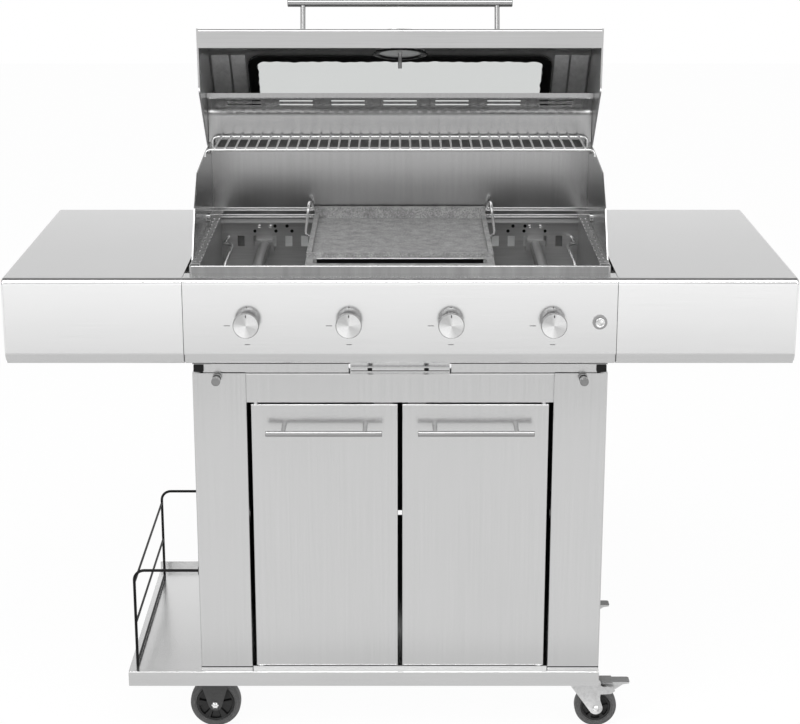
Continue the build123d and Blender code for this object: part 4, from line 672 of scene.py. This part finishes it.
BROW = step(LIP, FRONT_DEG, FRONT_LEN)
WINDOW_SPOT = step(BROW, SLOPE_DEG, WINDOW_UP + WINDOW_HALF[1])
GAUGE_SPOT = step(LIP, FRONT_DEG, GAUGE_UP)
print("window at", [round(v, 1) for v in WINDOW_SPOT], "thermometer at", [round(v, 1) for v in GAUGE_SPOT])

# %% [markdown]
# ## Window seal
#
# Black silicone was run by hand round the pane, so its inner edge wanders. The bead is a domed section
# carried round a rounded rectangle, with a slow sum of sines for the wandering edge: a hand's unevenness
# without any random draw.

# %% Window seal
BEAD_SECTION = np.array([(0, 0), (0.06, 0.7), (0.3, 1), (0.7, 1), (0.94, 0.7), (1, 0)])
CORNER_STEPS = 10


def frame_bead(half, corner, width, back, thick, steps=420):
    """A domed strip round a rounded rectangle; its inner edge wanders by a sum of three sines."""
    quarter = np.linspace(0, TURN / 4, CORNER_STEPS)
    turns = np.concatenate([quarter + k * TURN / 4 for k in range(4)])
    centre_u = np.repeat([1, -1, -1, 1], CORNER_STEPS) * (half[0] - corner)
    centre_v = np.repeat([1, 1, -1, -1], CORNER_STEPS) * (half[1] - corner)
    loop = np.stack([centre_u + corner * np.cos(turns), centre_v + corner * np.sin(turns)], axis=1)
    loop = np.concatenate([loop, loop[:1]])
    run = np.concatenate([[0], np.cumsum(np.linalg.norm(np.diff(loop, axis=0), axis=1))])
    along = np.linspace(0, run[-1], steps + 1)
    path = np.stack([np.interp(along, run, loop[:, k]) for k in (0, 1)], axis=1)
    path[-1] = path[0]
    heading = np.roll(path[:-1], -1, axis=0) - np.roll(path[:-1], 1, axis=0)
    heading = np.concatenate([heading, heading[:1]])
    heading /= np.linalg.norm(heading, axis=1)[:, None]
    outward = np.stack([heading[:, 1], -heading[:, 0]], axis=1)
    turn = TURN * along / run[-1]
    wander = 0.8 * np.sin(13 * turn) + 0.7 * np.sin(29 * turn + 1.0) + 0.7 * np.sin(61 * turn + 2.0)
    inner = -wander[:, None]
    offset = inner + (width - inner) * BEAD_SECTION[None, :, 0]
    points = path[:, None, :] + outward[:, None, :] * offset[:, :, None]
    depth = back - thick * BEAD_SECTION[None, :, 1] + 0 * offset
    return np.concatenate([points, depth[:, :, None]], axis=2)


bead = on_hood(frame_bead(WINDOW_HALF, 14.0, 17.6, -5.5, 2.4), WINDOW_SPOT, SLOPE_DEG)
piece("window_seal_bead", [bead], seal_and_shade_black, "hood", ["window_seal"])
print("bead round", [2 * v for v in WINDOW_HALF], "mm")

# %% [markdown]
# ## Thermometer gasket and hood lining
#
# The cup of the thermometer is sealed by hand as well: a lathe ring whose outer edge wanders. On both sides of
# the pane the inner skin is lined with two thin pale strips, flat plates just off the sheet, which paint the
# reflections in the hood's inside.

# %% Gasket and lining
GASKET = [(37, -19.5), (48, -19.3), (48.5, -21), (45, -22.4), (39, -21.6), (37, -20.6), (37, -19.5)]
LINING = [(297.0, 13.0), (330.0, 16.0)]  # middle and half width of each strip
LINING_HALF, LINING_DOWN = 95.0, -3.5


def wandering(angle, row):
    """Radius factor of the gasket's outer edge: 1 + 0.03 sin(7 a) + 0.02 sin(17 a + 1)."""
    return np.where((row == 1) | (row == 2), 1 + 0.03 * np.sin(7 * angle) + 0.02 * np.sin(17 * angle + 1), 1.0)


gasket = on_hood(turned(GASKET, 120, wandering), GAUGE_SPOT, FRONT_DEG)
piece("thermometer_gasket", [gasket], seal_and_shade_black, "hood")
# Pale strips inside the hood: painted reflection.
lining = [
    on_hood(pad(half, LINING_HALF, -2.1, -1.4, 40.0, 48) + [way * u, LINING_DOWN, 0], WINDOW_SPOT, SLOPE_DEG)
    for u, half in LINING for way in BOTH
]
piece("hood_lining_painted_reflection", lining, lining_steel, "hood")
print("gasket and", len(lining), "strips of lining")

# %% [markdown]
# ## Thermometer dial
#
# The dial behind the lens is a white painted disc with plain strokes, each third one longer. Printed ink has no
# height, but a thin plate for each stroke stays crisp from near and needs no picture.

# %% Dial
DIAL_R, DIAL_HOLE_R, DIAL_W, DIAL_TOP = 34.4, 2.0, 9.0, 9.3
STROKE_R, STROKE_HALF, LONG_HALF = 29.5, 1.8, 3.2
SCALE_DEG = np.linspace(210, -30, 25)
dial = turned([
    (0, DIAL_W), (DIAL_R, DIAL_W), (DIAL_R, DIAL_TOP), (DIAL_HOLE_R, DIAL_TOP), (DIAL_HOLE_R, DIAL_W), (0, DIAL_W)
], 64)
strokes = []
for number, angle in enumerate(np.radians(SCALE_DEG)):
    c, s = math.cos(angle), math.sin(angle)
    stroke = pad(0.45, LONG_HALF if number % 3 == 0 else STROKE_HALF, 0.2, 0.5, 6.0, 12)
    radial = np.array([[s, -c, 0], [c, s, 0], [0, 0, 1]])
    strokes.append(on_hood(stroke @ radial + [STROKE_R * c, STROKE_R * s, DIAL_W], GAUGE_SPOT, FRONT_DEG))
piece("thermometer_dial", [on_hood(dial, GAUGE_SPOT, FRONT_DEG)], dial_paint, "hood")
piece("thermometer_strokes", strokes, black_enamel, "hood")
print("dial strokes", len(strokes))

# %% [markdown]
# ## Inside the firebox
#
# Burner ports, the burners' brackets at the rear wall, and the holes and screws in that wall are small pressings.
# They are thin plates and domes on the sheet. Ports and holes are flat black plates, painted shade, which read
# as holes at this size, and the wall stays whole.

# %% Ports, holes and screws
BURNER_R, BURNER_Z, TUB_BACK = 11.0, 805.0, 435.0
PORT_TILT = math.radians(50)
PORT_Y = np.arange(152.0, 412.0, 11.0)
HOLES = [(-268, 831.9), (-229.2, 831.9), (-230.9, 841.3), (-208.7, 841.3), (-199.6, 831.9)]
SCREW = [(0, -0.3), (4.2, -0.3), (4.2, 0.5), (3.6, 1.4), (2, 2), (0, 2.2)]
SCREW_X, SCREW_Z, BRACKET_Z = (-259.5, -239, 239, 259.5), 841.3, 824

# Ports and holes are flat black plates: painted shade.
ports = [
    framed(
        pad(0.9, 1.6, BURNER_R - 0.3, BURNER_R + 0.08, steps=10), (x, y, BURNER_Z),
        (way * math.cos(PORT_TILT), 0, -math.sin(PORT_TILT)), (0, way, 0),
    )
    for x in KNOB_X for way in BOTH for y in PORT_Y
]
piece("burner_ports", ports, shadow_black, "cart")
holes = [framed(pad(3.1, 3.1, -0.3, 0.25, steps=20), (way * x, TUB_BACK, z)) for way in BOTH for x, z in HOLES]
piece("wall_holes", holes, shadow_black, "cart")
screws = [framed(turned(SCREW, 24), (x, TUB_BACK, SCREW_Z)) for x in SCREW_X]
piece("wall_screws", screws, nut_metal, "cart")
brackets = [framed(pad(15.0, 14.0, -0.2, 1.2, 8.0, 32), (x, TUB_BACK, BRACKET_Z)) for x in KNOB_X]
piece("burner_brackets", brackets, tub_steel, "cart")
print("ports", len(ports), "holes", len(holes), "screws", len(screws), "brackets", len(brackets))

# %% [markdown]
# ## Folded edge and tray clips
#
# The front wall of the firebox ends in a bright folded edge, and two black clips hold the grease tray's front.
# The fold is a thin round bar; the wall below it is a thin skin with broad upright bands of darker grey, painted
# shade and reflection, because the rest of that solid is plain tub steel.

# %% Folded edge and clips
WALL_Y, FOLD_Y, FOLD_Z, SKIN_Z = 42.0, 42.75, 858.6, 852.2
TRAY_Y, CLIP_X, CLIP_Z, SEAM_Z = 24.0, (-50.0, 44.0), 687.5, 684.5
fold = framed(bar(344.0, 1.0, 0.2, 0.5, 20), (0, FOLD_Y, FOLD_Z), *LENGTHWISE)
piece("firebox_fold", [fold], wire_steel, "cart")
# The skin's darker upright bands are painted shade and reflection.
skin = framed(pad(343.5, 5.6, -0.3, 0.25, 60.0, 48), (0, WALL_Y, SKIN_Z))
piece("firebox_front_skin", [skin], skin_steel, "cart")
clips = [framed(pad(4.0, 2.0, -0.3, 1.2, 6.0), (x, TRAY_Y, CLIP_Z)) for x in CLIP_X]
clips.append(framed(pad(82.0, 0.7, -0.3, 0.2, 30.0, 64), (0, TRAY_Y, SEAM_Z)))
piece("tray_clips", clips, black_enamel, "grease_tray")
print("fold 688 mm long, clips", len(clips))

# %% [markdown]
# ## Handles and slot of the griddle
#
# A bent wire handle stands on each side of the griddle, and the drip slot in its front has a worn, bright rear
# edge over a dark wall. A wire is bent at a few points, so the handle is a circle carried along a few points
# that are smoothed. The worn edge is a thin bar, and the dark wall is a flat black plate, painted shade.


# %% Griddle fittings
def tube(points, radius, steps=72, sides=12):
    """A circle carried along points that a moving mean smooths, closed at its ends."""
    points = np.asarray(points, float)
    run = np.concatenate([[0], np.cumsum(np.linalg.norm(np.diff(points, axis=0), axis=1))])
    even = np.linspace(0, run[-1], steps)
    path = np.stack([np.interp(even, run, points[:, k]) for k in range(3)], axis=1)
    padded = np.concatenate([np.repeat(path[:1], 4, axis=0), path, np.repeat(path[-1:], 4, axis=0)])
    path = np.stack([np.convolve(padded[:, k], np.ones(9) / 9, "valid") for k in range(3)], axis=1)
    heading = np.gradient(path, axis=0)
    heading /= np.linalg.norm(heading, axis=1)[:, None]
    side = np.cross(heading, [1.0, 0.0, 0.0])
    side /= np.linalg.norm(side, axis=1)[:, None]
    other = np.cross(heading, side)
    angle = np.linspace(0, TURN, sides, endpoint=False)
    circle = np.cos(angle)[None, :, None] * side[:, None, :] + np.sin(angle)[None, :, None] * other[:, None, :]
    ring = path[:, None, :] + radius * circle
    ends = [np.repeat(path[k][None, None], sides, axis=1) for k in (0, -1)]
    return np.concatenate([ends[0], ring, ends[1]])


BAIL = np.array([
    (156, 236, 866), (163, 240, 866), (166, 262, 867), (167, 330, 869), (167, 385, 878),
    (166.5, 408, 891), (165, 420, 893), (161, 424, 884), (156, 425, 870),
])
SLOT_EDGE, SLOT_WALL = (0, 95.7, 858.8), (0, 95.4, 854.8)
bails = [tube(BAIL * [way, 1, 1], 2.4) for way in BOTH]
piece("griddle_handles", bails, wire_steel, "griddle")
edge = framed(bar(139.0, 0.9, 0.2, 0.4, 12), SLOT_EDGE, *LENGTHWISE)
piece("slot_edge", [edge], wire_steel, "griddle")
# The dark wall of the slot is a flat black plate: painted shade.
slot_shade_plate = framed(pad(142.0, 3.3, -0.4, 0.3, 30.0, 48), SLOT_WALL)
piece("slot_shade", [slot_shade_plate], shadow_black, "griddle")
print("griddle handles", len(bails), "slot 284 mm wide")

# %% [markdown]
# ## Igniter leads and rim studs
#
# A stiff bright lead runs from the rear wall to the floor of the firebox on each side, bent like the handles.
# Rows of small studs hold the rim of the firebox; each is a low dome of a few faces, because there are many.

# %% Leads and studs
LEAD = np.array([
    (316, 434.8, 822), (317, 424, 822), (325, 404, 814), (316, 408, 816), (306, 396, 814),
    (309, 352, 808), (313, 309, 800), (313, 276, 788), (313, 262, 767),
])
STUD = [(0, -0.3), (2.3, -0.3), (2.3, 0.3), (1.5, 1.0), (0, 1.2)]
RIM_Z, STUD_X, STUD_Y = 862.0, (331.0, 339.5), np.arange(62.0, 424.0, 26.0)
leads = [tube(LEAD * [way, 1, 1], 3.2) for way in BOTH]
piece("igniter_leads", leads, nut_metal, "cart")
studs = [
    framed(turned(STUD, 12), (way * x, y, RIM_Z), (1, 0, 0), (0, 1, 0))
    for way in BOTH for x in STUD_X for y in STUD_Y
]
piece("rim_studs", studs, nut_metal, "cart")
print("leads", len(leads), "studs", len(studs))

# %% [markdown]
# ## Shadow gap in the rear wall
#
# Behind the warming rack the two plates of the rear wall leave a long dark gap. It is drawn as a thin dark grey
# plate on the wall, painted shade, because an open slot would also show the hood behind.

# %% Shadow gap
GAP_HALF, GAP_SPOT = (334.0, 7.0), (0, 443.0, 994.0)
# A dark grey plate paints the shade in the gap.
gap = framed(pad(*GAP_HALF, -0.3, 0.6, 40.0, 64), GAP_SPOT)
piece("rear_gap", [gap], shadow_grey, "cart")
print("gap", 2 * GAP_HALF[0], "mm long")

# %% [markdown]
# ## Rods of the warming rack
#
# The rods of the rack are drawn wire that shines along its top. Each is a thin bar laid over the solid's plain rod,
# a little thicker, so that only bright wire is seen.

# %% Rack rods
ROD_PITCH, ROD_PAIRS, ROD_SPOT = 18.0, 18, (361.0, 1010.6)
rod = bar(69.5, 2.0, 0.3, 0.3, 12)
rods = [framed(rod, (ROD_PITCH * k, *ROD_SPOT)) for k in range(-ROD_PAIRS, ROD_PAIRS + 1)]
piece("rack_rods", rods, wire_steel, "warming_rack")
print("rack rods", len(rods))

# %% [markdown]
# ## Hems, door sill and dark strips
#
# The panel and both shelves end below in a folded hem, a sill closes the gap under the doors, and thin black
# strips between the shelves and the panel paint the shade in those gaps. A press brake folds sheet along straight
# lines, so each is a flat section carried along the width. Thin black plates paint the shade in the gaps at the
# posts' feet, and black blocks sit under the head.

# %% Strips
HEM = [(9.2, 707), (11.4, 703.2), (13, 701.4), (15, 701), (38, 701), (38, 702.5), (16, 702.5), (16, 707)]
TUCK = [(1.2, 719.8), (1.7, 720.1), (9.4, 707.2), (8.9, 706.9)]
SILL = [(46, 132), (46, 138.4), (47.5, 138.4), (47.5, 132)]
STRIP = [(1, 708), (1, 836), (9, 845), (39, 845), (39, 708)]
PANEL_END, STRIP_X, STRIP_HALF, SHELF_ENDS, SILL_END = 354.8, 355.5, 0.4, (356.2, 649.0), 257.0
FOOT_X, FOOT_SPOT, BLOCK_X, BLOCK_SPOT = 303.0, (45.0, 136.9), 337.0, (46.0, 683.0)

hem = [extruded(bend, -PANEL_END, PANEL_END, 0) for bend in (HEM, TUCK)]
piece("panel_hem", hem, hem_steel, "cart")
hems = [extruded(bend, *sorted(way * x for x in SHELF_ENDS), 0) for bend in (HEM, TUCK) for way in BOTH]
piece("shelf_hems", hems, hem_steel, "cart")
# Thin black plates at the posts' feet: painted shade.
foot_shade = [framed(pad(44.6, 0.9, -0.3, 0.2, 40.0, 48), (way * FOOT_X, *FOOT_SPOT)) for way in BOTH]
piece("post_foot_shade", foot_shade, shadow_black, "cart")
piece("door_sill", [extruded(SILL, -SILL_END, SILL_END, 0)], base_steel, "cart")
# Black strips between the shelves and the panel: painted shade.
strips = [extruded(STRIP, way * STRIP_X - STRIP_HALF, way * STRIP_X + STRIP_HALF, 0) for way in BOTH]
blocks = [framed(pad(8.5, 6.5, -1.0, 2.0, 8.0, 32), (way * BLOCK_X, *BLOCK_SPOT)) for way in BOTH]
piece("gap_shade_strips_and_blocks", strips + blocks, seal_and_shade_black, "cart")
print("hem, sill and strips laid")

# %% [markdown]
# ## Caster brakes
#
# A stepped grey tread is moulded on each brake lever, over a zinc plated arm that reaches down to the tyre, and
# cheek plates on the fork hold the lever's pin. Stamped or moulded, each is a flat outline between two depths;
# tread and arm swing with the pedal, and the plates turn with the fork.

# %% Caster brakes
ARM = [(359, 84.4), (409, 84.9), (409, 82), (397.8, 80.2), (384.5, 70.5), (376, 75), (361.3, 79)]
TREAD = [
    [(348.5, 83.2), (359, 84.6), (359, 87.6), (348.5, 88.8)],
    [(358.5, 84.6), (379, 84.6), (379, 87), (378, 87.9), (359.5, 87.9), (358.5, 87)],
    [(378.5, 85.2), (409.5, 85.2), (409.5, 86.2), (406, 87.3), (378.5, 87.3)],
]
CHEEK = [
    [
        (345, 84), (354.4, 83.6), (360.8, 79.1), (380.2, 79.1), (383.5, 71.3), (376.5, 65.6), (361.2, 64.6),
        (345, 64.6),
    ],
    [(345, 66), (358, 66), (357, 59), (358.5, 44), (345, 44)],
]
TREAD_HALF, ARM_HALF = [11.0, 12.0, 9.0], 8.0
CHEEK_HALF = [1.2, 1.1]  # the second plate is thinner, so that no two faces fall together
CHEEK_OUT = (-15.6, 15.6)
PIN_X, PIN_Z = 352.5, 86.0
PIN = [(0, -12), (5, -12), (5, 12), (0, 12)]

for place, y in (("front", 100.0), ("rear", 440.0)):
    pedal = f"brake_pedal_{place}"
    tread = [extruded(part, y - half, y + half, 1) for part, half in zip(TREAD, TREAD_HALF)]
    tread.append(framed(turned(PIN, 32), (PIN_X, y, PIN_Z)))
    piece(f"brake_tread_{place}", tread, pedal_plastic, pedal, [pedal])
    piece(f"brake_arm_{place}", [extruded(ARM, y - ARM_HALF, y + ARM_HALF, 1)], zinc_steel, pedal)
    cheeks = [
        extruded(part, y + out - half, y + out + half, 1)
        for part, half in zip(CHEEK, CHEEK_HALF) for out in CHEEK_OUT
    ]
    piece(f"brake_cheeks_{place}", cheeks, zinc_steel, f"swivel_{place}")
print("brake treads, arms and cheek plates 2 each")

# %% [markdown]
# ## Floor and surround
#
# The photograph is a bright cut-out on white. The floor is a large sheet of paper that keeps a faint shadow, and
# rays from the camera, also by way of metal or glass, meet a white surround. Only the light on dull surfaces is
# dimmer, so that black and grey pieces keep their depth.

# %% Floor and world
AMBIENT = 0.62
FLOOR_WHITE_SHARE = 0.955
FLOOR_HALF = 9.0
WHITE = linear("#ffffff")


def white_for_eye(tree):
    """1 for rays from the camera, a glossy bounce or through glass, and 0 for the rest."""
    path = add(tree, "LightPath").outputs
    first = maths(tree, "MAXIMUM", path["Is Camera Ray"], path["Is Glossy Ray"])
    return maths(tree, "MAXIMUM", first, path["Is Transmission Ray"])


def card(name, corners, material):
    """A flat sheet through four corners."""
    mesh = bpy.data.meshes.new(name)
    mesh.from_pydata(corners, [], [(0, 1, 2, 3)])
    mesh.materials.append(material)
    thing = new_object(name, mesh)
    return thing


world = bpy.data.worlds.new("studio")
SCENE.world = world
world.use_nodes = True
sky = world.node_tree
sky.nodes.clear()
dim = add(sky, "Background", Color=WHITE, Strength=AMBIENT)
bright = add(sky, "Background", Color=WHITE, Strength=1.0)
add(sky, "OutputWorld", Surface=add(sky, "MixShader", Fac=white_for_eye(sky), i1=dim, i2=bright))

# Paper: flat white that takes a faint shadow.
floor, tree = blank_material("white_paper_floor")
paper = add(tree, "BsdfDiffuse", Color=WHITE, Roughness=1.0)
glow = add(tree, "Emission", Color=WHITE, Strength=1.0)
share = maths(tree, "MULTIPLY", white_for_eye(tree), FLOOR_WHITE_SHARE)
close(tree, add(tree, "MixShader", Fac=share, i1=paper, i2=glow))
corners = [(x * FLOOR_HALF, y * FLOOR_HALF, 0.0) for x, y in ((-1, -1), (1, -1), (1, 1), (-1, 1))]
card("paper_floor", corners, floor)
print("floor", 2 * FLOOR_HALF, "m wide")

# %% [markdown]
# ## Grey flags
#
# Bright sheet shows what stands round it, and in a white room it would vanish. So a photographer sets grey cards,
# called flags, round the object. These lie on the floor and stand on all sides, and only reflections see them.
# Most span a width in x between two edges, given as (y, z).

# %% Flags
REACH, WALL_X, HIGH_X, NEAR_X = 3.0, 3.2, 2.8, 0.95
BACK_Y, ABOVE_Y, FAR_Y, SIDE_Y = 2.6, 2.2, 4.0, (-3, 2.6)
LOW_Z, MID_Z, TOP_Z, FLAG_Z = 1.0, 2.4, 4.2, 0.01
CART_EDGE = {"left": 0.48, "right": 0.36}
SIDE_TONE = "#c4c4c4"


def flag(name, corners, tone):
    """A grey card that only reflections see."""
    name = "flag_" + name
    material, tree = blank_material(name)
    close(tree, add(tree, "Emission", Color=linear(tone), Strength=1.0))
    thing = card(name, corners, material)
    thing.visible_camera = thing.visible_diffuse = thing.visible_transmission = thing.visible_shadow = False


def span(first, last, low, high):
    """Corners of a card between x = first and x = last, from a lower to an upper edge of (y, z)."""
    return [(first, *low), (last, *low), (last, *high), (first, *high)]


WIDE_FLAGS = {
    "edge": ((-0.62, FLAG_Z), (-0.3, FLAG_Z), "#cecece"),
    "near": ((-2.3, FLAG_Z), (-0.62, FLAG_Z), "#dedede"),
    "far": ((-2.95, FLAG_Z), (-2.3, FLAG_Z), "#b4b4b4"),
    "low": ((BACK_Y, LOW_Z), (BACK_Y, 1.3), "#f6f6f6"),
    "back": ((BACK_Y, 1.3), (BACK_Y, MID_Z), "#cccccc"),
    "high": ((BACK_Y, MID_Z), (ABOVE_Y, TOP_Z), "#7c7c7c"),
    "ceiling": ((ABOVE_Y, TOP_Z), (-0.9, TOP_Z), "#747474"),
}
for name, (low, high, tone) in WIDE_FLAGS.items():
    flag(name, span(-REACH, REACH, low, high), tone)
for side, way in (("left", -1), ("right", 1)):
    edge, wall, high, near = [way * x for x in (CART_EDGE[side], WALL_X, HIGH_X, NEAR_X)]
    flag(f"floor_{side}", span(edge, wall, (-0.29, FLAG_Z), (FAR_Y, FLAG_Z)), SIDE_TONE)
    levels = [[(x, y, z) for y in SIDE_Y] for x, z in ((wall, 0.3), (wall, MID_Z), (high, TOP_Z))]
    flag(f"wall_{side}", levels[0] + levels[1][::-1], SIDE_TONE)
    flag(f"high_{side}", levels[1] + levels[2][::-1], "#a4a4a4")
    flag(f"low_{side}", span(near, wall, (BACK_Y, 0.02), (BACK_Y, LOW_Z)), SIDE_TONE)
    front = [(near, -3.8, 1.2), (wall, -3.8, 1.2), (high, -3.4, TOP_Z), (near, -3.4, TOP_Z)]
    flag(f"front_{side}", front, "#c0c0c0")
rear_floor = span(-CART_EDGE["left"], CART_EDGE["right"], (0.29, FLAG_Z), (FAR_Y, FLAG_Z))
flag("floor_rear", rear_floor, SIDE_TONE)
flag("front_middle", span(-NEAR_X, NEAR_X, (-3.7, 2.6), (-3.3, 4.6)), "#cccccc")

# %% [markdown]
# ## Lamps
#
# Two soft boxes stand left and right in front, the left one stronger, and a long one hangs above. Large lamps
# give the soft edge that shadows have in the photograph.


# %% Lamps
def softbox(name, place, size, power, aim=(0.0, 0.0, 0.7)):
    """Rectangular area lamp at a place, turned to face a point."""
    data = bpy.data.lights.new(name, "AREA")
    data.shape = "RECTANGLE"
    data.size, data.size_y = size
    data.energy = power
    lamp = new_object(name, data)
    lamp.location = place
    lamp.rotation_euler = (Vector(aim) - Vector(place)).to_track_quat("-Z", "Y").to_euler()


softbox("softbox_left", (-2.2, -2.6, 2.6), (1.6, 1.6), 24.0)
softbox("softbox_right", (2.4, -2.2, 2.2), (1.6, 1.6), 14.0)
softbox("softbox_top", (0.0, -1.5, 3.1), (2.4, 1.1), 32.0, (0.0, 0.0, 0.8))
print("lamps", len(bpy.data.lights))
